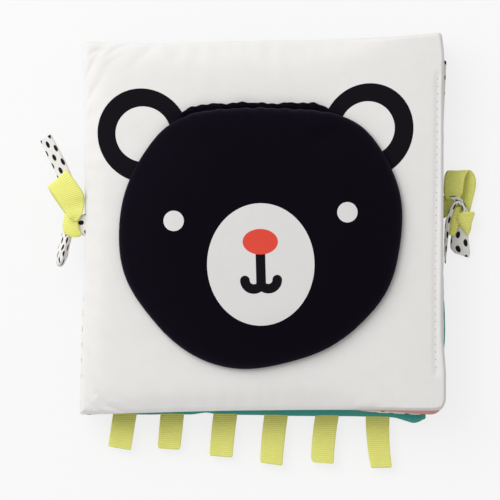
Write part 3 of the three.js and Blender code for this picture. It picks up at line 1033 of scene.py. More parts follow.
    def roll(self, places: np.ndarray) -> np.ndarray:
        """How far the foot's seam is rolled up from the page's outline.

        Args:
            places: Places on the page.

        Returns:
            The distance, by the place across the page.
        """
        if self.roll_from is None:
            return np.zeros(len(places))
        column, row = from_photo(*self.roll_from)
        foot = self.outline()[Side.FOOT.value]
        lowest = np.interp(places[:, 0], foot[:, 0], foot[:, 1])
        started = smooth((places[:, 0] - column) / self.roll_start)
        low = places[:, 1] < row + self.roll_height
        return np.clip(row - lowest, 0, None) * started * low

    def turned_cloth(self, middles: np.ndarray, inset: np.ndarray, roll: np.ndarray) -> np.ndarray:
        """True for each face of the lower side that shows the upper side's cloth.

        Args:
            middles: The faces' middles.
            inset: How far each face reaches in from the seam.
            roll: How far the seam is rolled up there.

        Returns:
            Whether the face lies in the border, which narrows to nothing along the foot.
        """
        past_end = middles[:, 0] - self.border_end
        narrowing = smooth(past_end / self.border_narrows)
        narrowing *= (middles[:, 1] < self.foot_height) & (past_end < self.border_gone)
        border = self.border * (1 - narrowing)
        return inset < np.where(roll < self.least_roll, border, 0)

    def build(self, upper: bpy.types.Material, lower: bpy.types.Material) -> bpy.types.Object:
        """Sews, stuffs and dresses the page.

        Args:
            upper: The cloth that faces up.
            lower: The cloth that faces down.

        Returns:
            The finished page, before its joints.
        """
        pillow = Pillow(self.grid())
        plan = pillow.plan
        faces, sheets = pillow.faces()
        seam = self.seam_height(plan[:, 0])
        inset = np.where(pillow.on_seam, 0, self.inset(plan, self.outline()))
        room_up = self.level + self.thickness - seam
        room_down = seam - self.level - self.foot_trim
        room = np.where(pillow.is_upper, room_up, -room_down)
        side = np.where(pillow.on_seam, 0, np.sign(room))
        rise = side * self.seam_thickness / 2 * smooth(inset / self.parting)
        height = seam + rise + (room - rise) * self.crown(plan)
        even = np.column_stack([plan, height])
        roll = self.roll(plan)
        deepest, rolled = (np.array([v[face].max() for face in faces]) for v in (inset, roll))
        middles = np.array([plan[face].mean(axis=0) for face in faces])
        turned = (sheets == 1) & self.turned_cloth(middles, deepest, rolled)
        page = make_object(
            self.name, even * MM, faces, [upper, lower], np.where(turned, 0, sheets)
        )
        near_fold = smooth((plan[:, 0] - RIGHT_FOLD_X + self.flat_from) / self.flat_within)
        near_fold *= abs(self.right_fold)
        swollen = inflated(page, pillow.on_seam, self.spare_cloth) / MM
        taken = self.pucker * (1 - self.flattened * near_fold)
        swollen = even + (swollen - even) * taken[:, None]
        lift = (swollen[:, 2] - seam) / np.where(np.abs(room) < 0.1, 0.1, room)
        swollen[:, 2] = seam + room * eased_over(lift, self.free_lift)
        # The rolled foot: its upper cloth is drawn up and its lower cloth pushed out
        drawn_up = roll * bump_at(inset, self.roll_upper)
        pushed = bump_at(inset - self.roll_lower, self.roll_lower)
        pushed *= smooth(roll / self.full_roll)
        swollen[:, 1] += np.where(pillow.is_upper, drawn_up, -pushed)
        set_coordinates(page.data, swollen * MM)
        set_cloth_map(page.data, pillow.cloth_map(swollen * MM))
        subdivided(page)
        return finish_piece(page, self.body, self.nodes)


@dataclass
class Topstitch:
    """The row of stitches beside the cover's fold, in a sewn dip, in millimetres."""

    line: list[tuple[float, float]]
    pitch: float = 4.05
    stitch: float = 3.0
    thread: float = 0.42
    # Size and sinking of the grey beads that paint the needle holes' shadow
    hole: float = 0.45
    hole_depth: float = 0.04
    dip: float = 0.6
    dip_reach: float = 1.6
    # Height that tells the cover's upper cloth from its lower, and where to look for it
    cover_middle: float = 22.5
    margin: float = 12.0

    def places(self, step: float) -> np.ndarray:
        """Points along the row, a step apart."""
        line = all_from_photo(self.line)
        return at_lengths(line, np.arange(0, length_along(line)[-1], step))

    def press(self, page: bpy.types.Object) -> None:
        """Presses the sewn dip into the page's upper cloth."""
        points = coordinates(page.data) / MM
        line = self.places(1.0)
        near = points[:, 0] > line[:, 0].min() - self.margin
        gaps, _ = nearest_gaps(points[near, :2], line)
        top = points[near, 2] > self.cover_middle
        points[near, 2] -= self.dip * bump_at(gaps, self.dip_reach) * top
        set_coordinates(page.data, points * MM)

    def build(self, surface: Callable[[float, float], float], finishes: Finishes) -> None:
        """Sews the stitches and lays grey beads of painted shadow for the needle holes between
        them, with one node tree.

        Args:
            surface: Height of the cover at a place, in metres.
            finishes: The materials.
        """
        tree = self._tree()
        jobs = (
            ("cover_stitches", 0.0, self.stitch, self.thread, 0.0, finishes.thread),
            # Painted shadow: grey beads set into the cloth where the needle holes are
            ("cover_needle_holes", 0.5, self.hole, self.hole * 1.5, -self.hole_depth,
             finishes.hole),
        )
        for name, shift, length, width, lift, material in jobs:
            places = self.places(self.pitch)[:-1]
            ahead = np.roll(places, -1, axis=0)
            ahead[-1] = places[-1] + (places[-1] - places[-2])
            places = (places + (ahead - places) * shift) * MM
            points = [(x, y, surface(x, y) + lift * MM) for x, y in places]
            edges = [(i, i + 1) for i in range(len(points) - 1)]
            piece = make_object(name, points, [], [], edges=edges)
            values = {"Length": length * MM, "Width": width * MM, "Finish": material}
            run_group(piece, tree, values)
            piece.data.polygons.foreach_set("use_smooth", [True] * len(piece.data.polygons))
            finish_piece(piece, "front_page")

    @staticmethod
    def _tree() -> bpy.types.NodeTree:
        """Node tree that lays a small rounded stitch on each point of a line."""
        tree, given = new_group("Stitch row", ("Length", "Width"))
        curve = add_node(tree, "GeometryNodeMeshToCurve", {"Mesh": given["Geometry"]})
        tangent = add_node(tree, "GeometryNodeInputTangent").outputs[0]
        turn = add_node(tree, "FunctionNodeAlignRotationToVector", {"Vector": tangent}, axis="X")
        bead = add_node(tree, "GeometryNodeMeshIcoSphere", {"Radius": 0.5, "Subdivisions": 2})
        width = given["Width"]
        size = {"X": given["Length"], "Y": width, "Z": width}
        placing = {
            "Points": curve.outputs[0],
            "Instance": bead.outputs[0],
            "Rotation": turn.outputs[0],
            "Scale": add_node(tree, "ShaderNodeCombineXYZ", size).outputs[0],
        }
        laid = add_node(tree, "GeometryNodeInstanceOnPoints", placing)
        close_group(tree, laid.outputs[0], given)
        return tree


@dataclass
class FoldWeb:
    """A narrow band of cloth round a fold, joining the seams of two pages, in millimetres.

    The line that it reaches out to is given in photograph pixels, from the head down.
    """

    name: str
    bodies: tuple[str, str]
    axis_x: float
    axis_z: float
    outward: int
    edge: list[tuple[float, float]]
    nodes: list[str]
    slot: str
    half_length: float = 92.0
    radius: float = 1.35
    cloth: float = 0.5
    start_angle: float = 125.0
    ripples: Ripples = ((0.12, 0.31, 0.0), (0.08, 0.83, 1.0))
    columns: int = 16
    rows: int = 92

    def build(self, material: bpy.types.Material) -> bpy.types.Object:
        """Bends the band round the fold.

        Args:
            material: The band's cloth.

        Returns:
            The band.
        """
        angles = np.radians(np.linspace(-self.start_angle, self.start_angle, self.columns + 1))
        angles = np.concatenate([angles, angles[::-1]])
        inner = np.arange(len(angles)) > self.columns
        lengths = np.linspace(-self.half_length, self.half_length, self.rows + 1)
        edge = all_from_photo(self.edge)[::-1]
        middle = np.interp(lengths, edge[:, 1], edge[:, 0]) - self.outward * self.radius
        outer = self.radius + rippled(lengths, self.ripples)
        reach = outer[:, None] - self.cloth * inner
        rings = np.stack(
            [
                middle[:, None] + self.outward * reach * np.cos(angles),
                np.repeat(lengths[:, None], len(angles), axis=1),
                self.axis_z + reach * np.sin(angles),
            ],
            axis=2,
        )
        count = len(angles)
        faces = tube_faces(len(rings), count)
        if self.outward > 0:
            faces = [face[::-1] for face in faces]
        around = length_along(np.concatenate([rings[0], rings[0][:1]]))
        places = np.array([
            [(around[i], low), (around[i + 1], low), (around[i + 1], high), (around[i], high)]
            for low, high in zip(lengths[:-1], lengths[1:])
            for i in range(count)
        ])
        places = places[:, :: -self.outward].reshape(-1, 2)
        ends = np.zeros((2 * count, 2))
        web = make_object(self.name, rings.reshape(-1, 3) * MM, faces, [material])
        set_cloth_map(web.data, np.concatenate([places, ends]) * MM)
        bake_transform(web)
        return finish_piece(web, None, self.nodes)


# ---------------------------------------------------------------------------------------------
# Bear head and prints
# ---------------------------------------------------------------------------------------------


class Surface:
    """Height of a finished upper cloth, found by looking straight down on it."""

    # Where the look starts, and where a place past the cloth's edge is searched from
    above = 0.2
    beside = 0.04

    def __init__(self, obj: bpy.types.Object) -> None:
        """Builds the search tree of the object's mesh."""
        mesh = obj.data
        self.tree = BVHTree.FromPolygons(
            coordinates(mesh).tolist(), [p.vertices[:] for p in mesh.polygons]
        )

    def __call__(self, x: float, y: float) -> float:
        """Height in metres at a place in metres.

        Args:
            x: Place across.
            y: Place up the page.

        Returns:
            The height of the first cloth met from above.
        """
        hit = self.tree.ray_cast(Vector((x, y, self.above)), Vector((0, 0, -1)))[0]
        if hit is None:
            hit = self.tree.find_nearest(Vector((x, y, self.beside)))[0]
        return hit.z


@dataclass
class HeadShape:
    """Outline of the bear's head: a circle bent by ten waves, in millimetres."""

    radius: float = 73.29
    centre: tuple[float, float] = (-2.0, -6.1)
    cosines: tuple[float, ...] = (
        0.0067, 0.0396, 0.0053, -0.0137, -0.0084, 0.0045, 0.0009, -0.001, -0.0002, -0.0033,
    )
    sines: tuple[float, ...] = (
        0.0192, 0.0165, 0.0268, -0.0004, -0.0117, 0.0016, -0.0011, 0.0004, 0.0023, 0.0015,
    )
    mouth_centre: float = math.pi * 0.51
    mouth_half_angle: float = math.pi * 0.235
    # How steeply the mouth closes at its ends
    mouth_closing: float = 2.5

    def reach(self, angle: np.ndarray) -> np.ndarray:
        """Radius of the outline at an angle."""
        wave = np.ones_like(angle)
        for turn, (c, s) in enumerate(zip(self.cosines, self.sines), start=1):
            wave = wave + c * np.cos(turn * angle) + s * np.sin(turn * angle)
        return self.radius * wave

    def mouth(self, angle: np.ndarray) -> np.ndarray:
        """One along the pocket's open edge, falling to nothing at its ends."""
        off = np.angle(np.exp(1j * (angle - self.mouth_centre)))
        return smooth((1 - np.abs(off) / self.mouth_half_angle) * self.mouth_closing)

    def disc(self, count: int) -> tuple[np.ndarray, np.ndarray, np.ndarray]:
        """A square grid bent onto the unit disc.

        Args:
            count: Cells along each side.

        Returns:
            The grid's places on the unit disc, its radii and its angles.
        """
        side = np.linspace(-1, 1, count + 1)
        u, v = np.meshgrid(side, side)
        x, y = u * np.sqrt(1 - v * v / 2), v * np.sqrt(1 - u * u / 2)
        return np.stack([x, y], axis=-1), np.hypot(x, y), np.arctan2(y, x)


# Middle of the pocket's rolled edge, as columns and rows of the photograph
HEM_LINE = [
    (169.5, 130.0), (172.5, 125.4), (177.9, 118.8), (183.3, 113.8),
    (188.8, 110.7), (198, 107.8), (206.5, 106.2), (224.9, 106), (243, 104.5),
    (255.5, 104.8), (270.8, 106), (293.8, 104.9), (312, 105.3), (320, 106.6),
    (326, 109.6), (331.5, 113.2), (335.5, 116.4), (338.2, 119.4),
]


@dataclass
class RolledHem:
    """The pocket's open edge: the lining turned over into a slim, unevenly twisted roll."""

    line: list[tuple[float, float]]
    height: float = 31.15
    radius: float = 1.25
    flattening: float = 0.85
    # Share of the roll's length over which each end closes
    end_share: float = 0.035
    ripples: Ripples = ((0.14, 47.0, 0.0), (0.1, 113.0, 1.0))
    lobes: int = 3
    # Depth of the lobes at the roll's middle, and how much deeper they are at its ends
    lobe_depth: float = 0.1
    end_depth: float = 0.14
    twists: float = 13.0
    twist_ripples: Ripples = ((0.9, 31.0, 0.0),)
    rings: int = 520
    sides: int = 24
    dip: float = 0.75
    dip_reach: float = 3.0
    # The dip's mean share and swing, and the lengths of its two waves along the line
    dip_mean: float = 0.75
    dip_swing: float = 0.35
    dip_waves: tuple[float, float] = (9.0, 23.0)
    # Above this the page's points are on its upper cloth
    cover_top: float = 26.0

    def middle(self, count: int, window: int) -> np.ndarray:
        """The roll's middle line, with its bends rounded over a window of its points."""
        return softened(all_from_photo(self.line), count, window)

    def press(self, page: bpy.types.Object) -> None:
        """Draws the cover's cloth down along the roll, where the two are sewn together."""
        points = coordinates(page.data) / MM
        gaps, nearest = nearest_gaps(points[:, :2], self.middle(201, 15))
        short, long = self.dip_waves
        swing = np.sin(nearest / short) * np.sin(nearest / long + 1)
        uneven = self.dip_mean + self.dip_swing * swing
        top = points[:, 2] > self.cover_top
        points[:, 2] -= self.dip * uneven * bump_at(gaps, self.dip_reach) * top
        set_coordinates(page.data, points * MM)

    def build(self, material: bpy.types.Material) -> bpy.types.Object:
        """Makes the roll.

        Args:
            material: The lining's cloth.

        Returns:
            The roll.
        """
        middle = self.middle(self.rings, 31)
        along = np.gradient(middle, axis=0)
        along /= np.linalg.norm(along, axis=1, keepdims=True)
        outward = np.stack([-along[:, 1], along[:, 0]], axis=1)
        share = np.linspace(0, 1, self.rings)
        ends = np.clip(np.minimum(share, 1 - share) / self.end_share, 0.01, 1)
        size = self.radius * np.sqrt(1 - (1 - ends) ** 2)
        size *= 1 + rippled(share, self.ripples)
        turn = np.linspace(0, 2 * np.pi, self.sides, endpoint=False)
        wring = self.twists * 2 * np.pi * share + rippled(share, self.twist_ripples)
        depth = self.lobe_depth + self.end_depth * np.abs(2 * share - 1) ** 1.5
        lobes = 1 + depth[:, None] * np.cos(self.lobes * (turn[None] - wring[:, None] / 3))
        reach = size[:, None] * lobes
        plan = middle[:, None] + outward[:, None] * (reach * np.cos(turn))[..., None]
        height = self.height + self.flattening * reach * np.sin(turn)
        points = np.concatenate([plan, height[..., None]], axis=2).reshape(-1, 3)
        faces = tube_faces(self.rings, self.sides)
        piece = make_object("pocket_rolled_hem", points * MM, faces, [material])
        return finish_piece(piece, "front_page")


@dataclass
class BearHead:
    """The padded flap, the pocket lining behind it and the pocket's hem, in millimetres."""

    shape: HeadShape = field(default_factory=HeadShape)
    hem: RolledHem = field(default_factory=lambda: RolledHem(HEM_LINE))
    cells: int = 72
    lining_cells: int = 40
    lining_base: float = 29.9
    lining_thickness: float = 0.5
    # Height and breadth of the lining's rolled rim, and how far it shows past the flap
    rim_height: float = 1.6
    rim_reach: float = 2.2
    setback: float = 3.2
    lining_ripples: Ripples = ((0.35, 31.0, 0.0), (0.25, 53.0, 1.0))
    flap_base: float = 31.0
    seam_thickness: float = 1.9
    thickness: float = 9.0
    pocket_height: float = 4.6
    # Shares of the head's radius over which the flap rises, from its sewn rim and, at the
    # mouth, from the middle
    rise_from_rim: float = 0.4
    rise_to_mouth: float = 0.5
    # How squarely the stuffed flap turns down to its seam
    squareness: int = 12
    # Room that the flap's lower cloth leaves over its base before it is stuffed
    clearance: float = 0.1
    # Share of the flap's height that it has before it is stuffed, and keeps unsoftened after
    cut_share: float = 0.75
    spare_cloth: float = 0.015
    pucker: float = 0.45
    outset: float = 0.9
    flap_ripples: Ripples = ((0.28, 61.0, 0.0), (0.22, 37.0, 1.0))

    def build(self, finishes: Finishes) -> bpy.types.Object:
        """Makes the lining, the hem and the flap.

        Args:
            finishes: The materials.

        Returns:
            The flap, which carries the printed face.
        """
        self._lining(finishes.bear)
        self.hem.build(finishes.bear)
        return self._flap(finishes.bear)

    def _pillow(self, disc: np.ndarray, radius: np.ndarray) -> Pillow:
        """A pillow over the unit disc moved out to a radius."""
        return Pillow(disc * radius[..., None] + np.array(self.shape.centre))

    def _lining(self, material: bpy.types.Material) -> None:
        """The thin cloth that closes the pocket's back, its rim a little rolled."""
        shape = self.shape
        disc, share, angle = shape.disc(self.lining_cells)
        setback = self.setback + rippled(angle, self.lining_ripples)
        outline = shape.reach(angle) + setback * shape.mouth(angle)
        pillow = self._pillow(disc, outline)
        share, angle = pillow.spread(share), pillow.spread(angle)
        roll = bump_at((1 - share) * shape.radius - self.rim_reach, self.rim_reach)
        lift = self.lining_thickness + self.rim_height * roll * shape.mouth(angle)
        height = np.where(pillow.is_upper, lift, 0.0)
        height[pillow.on_seam] = 0.9 * self.lining_thickness
        points = np.column_stack([pillow.plan, self.lining_base + height]) * MM
        lining = make_object("pocket_lining", points, pillow.faces()[0], [material])
        subdivided(lining)
        finish_piece(lining, "front_page", ["head_pocket_lining"])

    def _flap(self, material: bpy.types.Material) -> bpy.types.Object:
        """The padded front of the head, stuffed by simulation."""
        shape = self.shape
        disc, share, angle = shape.disc(self.cells)
        scallops = rippled(angle, self.flap_ripples)
        outline = shape.reach(angle) + self.outset + scallops * shape.mouth(angle)
        pillow = self._pillow(disc, outline)
        share, angle = pillow.spread(share), pillow.spread(angle)
        risen = smooth((1 - share) / self.rise_from_rim)
        agape = shape.mouth(angle) * smooth(share / self.rise_to_mouth)
        base = self.flap_base + self.pocket_height * np.maximum(risen, agape)
        seam = base + self.seam_thickness / 2
        swell = np.sqrt(np.clip(1 - np.minimum(share, 1) ** self.squareness, 0, 1))
        top = base + self.seam_thickness + (self.thickness - self.seam_thickness) * swell
        upper, lower = seam + (top - seam) * self.cut_share, base + self.clearance
        height = np.where(pillow.on_seam, seam, np.where(pillow.is_upper, upper, lower))
        even = np.column_stack([pillow.plan, height])
        flap = make_object("head_flap", even * MM, pillow.faces()[0], [material])
        swollen = inflated(flap, pillow.on_seam, self.spare_cloth) / MM
        swollen = even + (swollen - even) * self.pucker
        room = np.maximum(top - seam, 0.1)
        lift = eased_over((swollen[:, 2] - seam) / room, self.cut_share)
        upper = seam + room * np.maximum(lift, 0)
        lower = np.maximum(swollen[:, 2], base)
        swollen[:, 2] = np.where(pillow.on_seam, seam, np.where(pillow.is_upper, upper, lower))
        set_coordinates(flap.data, swollen * MM)
        subdivided(flap)
        nodes = ["head_back_cloth", "head_batting", "head_face_cloth"]
        return finish_piece(flap, "front_page", nodes)


Shape2D = Callable[[np.ndarray], np.ndarray]
Oval = tuple[float, float, float, float, float]


def circle(
    x: float, y: float, half_width: float, half_height: float, count: int, lean: float = 0.0
) -> np.ndarray:
    """Points round an ellipse that leans by an angle in degrees, in millimetres."""
    turn = np.linspace(0, 2 * np.pi, count, endpoint=False)
    across, up = half_width * np.cos(turn), half_height * np.sin(turn)
    c, s = math.cos(math.radians(lean)), math.sin(math.radians(lean))
    return np.stack([x + across * c - up * s, y + across * s + up * c], axis=1)


def in_ellipse(
    x: float, y: float, half_width: float, half_height: float, lean: float = 0.0
) -> Shape2D:
    """Test of whether places lie in an ellipse that leans by an angle in degrees."""
    c, s = math.cos(math.radians(lean)), math.sin(math.radians(lean))

    def inside(places: np.ndarray) -> np.ndarray:
        """True for each place in the ellipse."""
        across, up = places[:, 0] - x, places[:, 1] - y
        along, over = across * c + up * s, up * c - across * s
        return (along / half_width) ** 2 + (over / half_height) ** 2 < 1

    return inside


@dataclass
class Print:
    """Ink on a cloth: a thin skin that follows the cloth under it, in millimetres."""

    name: str
    node: str
    slot: str
    loops: list[np.ndarray]
    inside: Shape2D
    spacing: float = 2.0
    lift: float = 0.07
    depth: float = 0.12
    # How far round each place the cloth's highest point is looked for
    feel: float = 0.6
    # Least gap between a lattice point and the outline, as a share of the spacing
    clearance: float = 0.45
    sharp_angle: float = 50.0

    def build(self, surface: Surface, material: bpy.types.Material) -> bpy.types.Object:
        """Lays the print on a cloth.

        Args:
            surface: The cloth's height.
            material: The ink.

        Returns:
            The print.
        """
        points, triangles = self._plan()
        near = self.feel * np.array([(0, 0), (1, 0), (-1, 0), (0, 1), (0, -1)])
        heights = np.array(
            [max(surface((x + i) * MM, (y + j) * MM) for i, j in near) for x, y in points]
        )
        top = np.column_stack([points * MM, heights + self.lift * MM])
        bottom = top - [0, 0, self.depth * MM]
        count = len(points)
        faces = [list(t) for t in triangles] + [[a + count for a in t[::-1]] for t in triangles]
        edges = {(t[i], t[(i + 1) % 3]) for t in triangles for i in range(3)}
        faces += [[b, a, a + count, b + count] for a, b in edges if (b, a) not in edges]
        piece = make_object(self.name, np.concatenate([top, bottom]), faces, [material])
        piece.data.set_sharp_from_angle(angle=math.radians(self.sharp_angle))
        return finish_piece(piece, "front_page", [self.node])

    def _plan(self) -> tuple[np.ndarray, list[tuple[int, int, int]]]:
        """Triangles over the printed shape.

        Returns:
            The places, and the triangles' corner numbers, anticlockwise.
        """
        fixed = np.concatenate(self.loops)
        edges, start = [], 0
        for loop in self.loops:
            count = len(loop)
            edges += [(start + i, start + (i + 1) % count) for i in range(count)]
            start += count
        low, high = fixed.min(axis=0), fixed.max(axis=0)
        xs = np.arange(low[0], high[0], self.spacing)
        ys = np.arange(low[1], high[1], self.spacing)
        lattice = np.stack(np.meshgrid(xs, ys), axis=-1)
        lattice[1::2, :, 0] += self.spacing / 2
        lattice = lattice.reshape(-1, 2)
        gaps, _ = nearest_gaps(lattice, fixed)
        apart = gaps > self.spacing * self.clearance
        lattice = lattice[self.inside(lattice) & apart]
        places = [Vector(p) for p in np.concatenate([fixed, lattice])]
        result = delaunay_2d_cdt(places, edges, [], 0, 1e-5)
        points = np.array([tuple(p) for p in result[0]])
        triangles = np.array([tuple(f) for f in result[2]])
        centres = points[triangles].mean(axis=1)
        triangles = triangles[self.inside(centres)]
        a, b, c = (points[triangles[:, k]] for k in range(3))
        turn = (b - a)[:, 0] * (c - a)[:, 1] - (b - a)[:, 1] * (c - a)[:, 0]
        triangles[turn < 0] = triangles[turn < 0][:, ::-1]
        used = np.unique(triangles)
        places_by_old = {old: new for new, old in enumerate(used)}
        kept = [tuple(places_by_old[i] for i in t) for t in triangles]
        return points[used], kept


@dataclass
class Face:
    """The bear's ears, printed on the cover, and its face, printed on the flap."""

    shape: HeadShape = field(default_factory=HeadShape)
    left_ear: tuple[Oval, Oval] = (
        (-63.96, 47.53, 25.5, 24.05, -58.0), (-64.0, 48.2, 15.0, 14.7, -44.0),
    )
    right_ear: tuple[Oval, Oval] = (
        (55.8, 50.1, 25.7, 23.95, -119.0), (55.5, 51.15, 14.9, 14.45, -139.0),
    )
    tuck: float = 3.0
    eye: float = 5.44
    left_eye: tuple[float, float] = (-47.7, 1.9)
    right_eye: tuple[float, float] = (44.8, 6.5)
    muzzle: tuple[float, float, float, float] = (-1.3, -21.3, 28.6, 32.6)
    nose: tuple[float, float, float, float] = (-1.6, -9.2, 9.4, 6.8)
    stroke: float = 5.1
    hook: float = 4.7
    stem_foot: float = -29.6
    mouth_lean: float = 1.5
    hook_spacing: float = 7.8

    def build(self, cover: Surface, flap: Surface, finishes: Finishes) -> None:
        """Prints the ears and the face.

        Args:
            cover: Height of the cover cloth.
            flap: Height of the flap's face.
            finishes: The materials.
        """
        for side, ovals in (("left", self.left_ear), ("right", self.right_ear)):
            self._ear(side, *ovals).build(cover, finishes.black_ink)
        for side, (x, y) in (("left", self.left_eye), ("right", self.right_eye)):
            eye = (x, y, self.eye, self.eye)
            Print(
                f"eye_{side}", f"eye_print_{side}", "white_print", [circle(*eye, 48)],
                in_ellipse(*eye), spacing=1.5,
            ).build(flap, finishes.white_print)
        Print(
            "muzzle", "muzzle_print", "white_print", [circle(*self.muzzle, 128)],
            in_ellipse(*self.muzzle),
        ).build(flap, finishes.white_print)
        Print(
            "nose", "nose_print", "red_print", [circle(*self.nose, 64)],
            in_ellipse(*self.nose), lift=0.14,
        ).build(flap, finishes.red_ink)
        self._mouth().build(flap, finishes.black_ink)

    def _ear(self, side: str, rim: Oval, hollow: Oval) -> Print:
        """A black ring that runs in under the head's edge."""
        turn = np.linspace(0, 2 * np.pi, 240, endpoint=False)
        reach = self.shape.reach(turn) - self.tuck
        head = np.array(self.shape.centre) + reach[:, None] * np.stack(
            [np.cos(turn), np.sin(turn)], axis=1
        )
        outer, inner = in_ellipse(*rim), in_ellipse(*hollow)

        def inside(places: np.ndarray) -> np.ndarray:
            """True for each place on the ring that the head leaves clear."""
            off = places - np.array(self.shape.centre)
            angle = np.arctan2(off[:, 1], off[:, 0])
            clear = np.hypot(off[:, 0], off[:, 1]) > self.shape.reach(angle) - self.tuck
            return outer(places) & ~inner(places) & clear

        loops = [circle(*rim[:4], 120, rim[4]), circle(*hollow[:4], 90, hollow[4]), head]
        return Print(f"ear_{side}", f"ear_print_{side}", "black_print", loops, inside)

    def _mouth(self) -> Print:
        """A stem under the nose that ends in two hooks, one stroke with round ends."""
        x, y = self.nose[0], self.stem_foot
        half = self.stroke / 2
        top = self.nose[1] - self.nose[3] / 2
        foot = y - self.hook / 2
        loops, tests = [], []
        stem = [(x - half, foot), (x + half, foot), (x + half, top), (x - half, top)]
        loops.append(np.array(stem))
        tests.append(
            lambda p: (np.abs(p[:, 0] - x) < half) & (p[:, 1] > foot) & (p[:, 1] < top)
        )
        for side in (-1, 1):
            cx = x + side * self.hook_spacing / 2
            turn = np.linspace(np.pi, 2 * np.pi, 33)
            arc = np.stack([np.cos(turn), np.sin(turn)], axis=1)
            rim = np.concatenate(
                [arc * (self.hook + half), arc[::-1] * (self.hook - half)]
            ) + [cx, y]
            loops.append(rim)
            tests.append(
                lambda p, cx=cx, side=side: (p[:, 1] <= y)
                & ((p[:, 0] - x) * side > 0)
                & (np.abs(np.hypot(p[:, 0] - cx, p[:, 1] - y) - self.hook) < half)
            )
            cap = (cx + side * self.hook, y, half, half)
            loops.append(circle(*cap, 32))
            tests.append(in_ellipse(*cap))
        nose = in_ellipse(*self.nose)
        lean = math.radians(self.mouth_lean)
        turn = np.array([[math.cos(lean), math.sin(lean)], [-math.sin(lean), math.cos(lean)]])
        pivot = np.array([x, top])
        loops = [(loop - pivot) @ turn + pivot for loop in loops]
        loops.append(circle(*self.nose, 64))

        def inside(places: np.ndarray) -> np.ndarray:
            """True for each place in the stroke that the nose leaves clear."""
            upright = (places - pivot) @ turn.T + pivot
            hit = np.zeros(len(places), bool)
            for test in tests:
                hit |= test(upright)
            return hit & ~nose(places)

        return Print(
            "mouth", "mouth_print", "black_print", loops, inside, spacing=1.2, lift=0.14
        )


# ---------------------------------------------------------------------------------------------
# Ribbons
# ---------------------------------------------------------------------------------------------


@dataclass(frozen=True)
class Ribs:
    """Ribs across a grosgrain ribbon, raised on a plain strip by a node tree that also stores
    painted shade between them.
    """

    pitch: float = 1.05 * MM
    height: float = 0.16 * MM
    # Painted shade: share of the ribbon's shade colour laid between the ribs' flanks
    painted_shade_share: float = 0.35

    def raise_on(self, strip: bpy.types.Object, material: bpy.types.Material) -> None:
        """Raises the ribs along a strip that carries its length and where it is ribbed.

        Args:
            strip: The plain strip.
            material: The ribbon's material.
        """
        tree = bpy.data.node_groups.get("Grosgrain ribs") or self._tree()
        run_group(strip, tree, {"Pitch": self.pitch, "Height": self.height, "Finish": material})

    def _tree(self) -> bpy.types.NodeTree:
        """Node tree that moves each point out by a wave along the ribbon and stores the painted
        shade between the ribs.
        """
        tree, given = new_group("Grosgrain ribs", ("Pitch", "Height"))
        reading = "GeometryNodeInputNamedAttribute"
        along, ribbed = (
            add_node(tree, reading, {"Name": name}, data_type="FLOAT").outputs[0]
            for name in ("along", "ribbed")
        )
        turns = maths(tree, "DIVIDE", along, given["Pitch"])
        wave = maths(tree, "COSINE", maths(tree, "MULTIPLY", turns, 2 * math.pi))
        held = maths(tree, "MULTIPLY", wave, ribbed)
        # Painted shade: none on a rib's crest, rising to twice the share at the bottom of a groove
        groove = maths(tree, "MULTIPLY_ADD", held, -self.painted_shade_share, self.painted_shade_share)
        rise = maths(tree, "MULTIPLY", held, maths(tree, "MULTIPLY", given["Height"], 0.5))
        normal = add_node(tree, "GeometryNodeInputNormal").outputs[0]
        offset = add_node(
            tree, "ShaderNodeVectorMath", {0: normal, "Scale": rise}, operation="SCALE"
        )
        marked = add_node(
            tree, "GeometryNodeStoreNamedAttribute",
            {"Geometry": given["Geometry"], "Name": "groove", "Value": groove},
            data_type="FLOAT", domain="POINT",
        )
        moved = add_node(
            tree, "GeometryNodeSetPosition",
            {"Geometry": marked.outputs[0], "Offset": offset.outputs[0]},
        )
        close_group(tree, moved.outputs[0], given)
        return tree


def band(
    name: str,
    sections: np.ndarray,
    along: np.ndarray,
    width: float,
    material: bpy.types.Material,
    selvedge: float = 0.9 * MM,
) -> bpy.types.Object:
    """Makes a flat band from its cross-sections, with its own cloth coordinates.

    Args:
        name: The object's name.
        sections: Places in metres: steps by two faces by columns by three.
        along: Length along the band at each step, in metres.
        width: The band's width in metres.
        material: Its material.
        selvedge: Width of the plain edge on each side.

    Returns:
        The band, closed at both ends.
    """
    steps, _, columns, _ = sections.shape
    count = 2 * columns
    points = np.concatenate([sections[:, 0], sections[:, 1, ::-1]], axis=1).reshape(-1, 3)
    faces = tube_faces(steps, count)[:-2]
    for first, order in ((0, -1), ((steps - 1) * count, 1)):
        for i in range(columns - 1):
            quad = [first + i, first + i + 1, first + count - 2 - i, first + count - 1 - i]
            faces.append(quad[::order])
    if volume_of(points, faces) < 0:
        faces = [face[::-1] for face in faces]
    piece = make_object(name, points, faces, [material])
    share = length_along(sections[0, 0])
    share /= share[-1]
    across_all = np.tile(np.concatenate([share, share[::-1]]) * width, steps)
    along_all = np.repeat(along, count)
    edge = np.minimum(across_all, width - across_all)
    ribbed = smooth((edge - selvedge * 0.6) / (selvedge * 0.4))
    for label, values in (("along", along_all), ("ribbed", ribbed)):
        attribute = piece.data.attributes.new(label, "FLOAT", "POINT")
        attribute.data.foreach_set("value", values.astype(np.float32))
    corner_points = np.empty(len(piece.data.loops), np.int32)
    piece.data.loops.foreach_get("vertex_index", corner_points)
    places = np.stack([across_all[corner_points], along_all[corner_points]], axis=1)
    set_cloth_map(piece.data, places)
    return piece


def edge_rounding(share: np.ndarray, power: int, least: float) -> np.ndarray:
    """A band's thickness across it, as a share: full, but round at its two edges.

    Args:
        share: Places across the band, from 0 to 1.
        power: How flat the band is between its edges.
        least: The square of the least share, at the edges themselves.

    Returns:
        The share of the thickness at each place.
    """
    return np.sqrt(np.clip(1 - np.abs(2 * share - 1) ** power, least, 1))


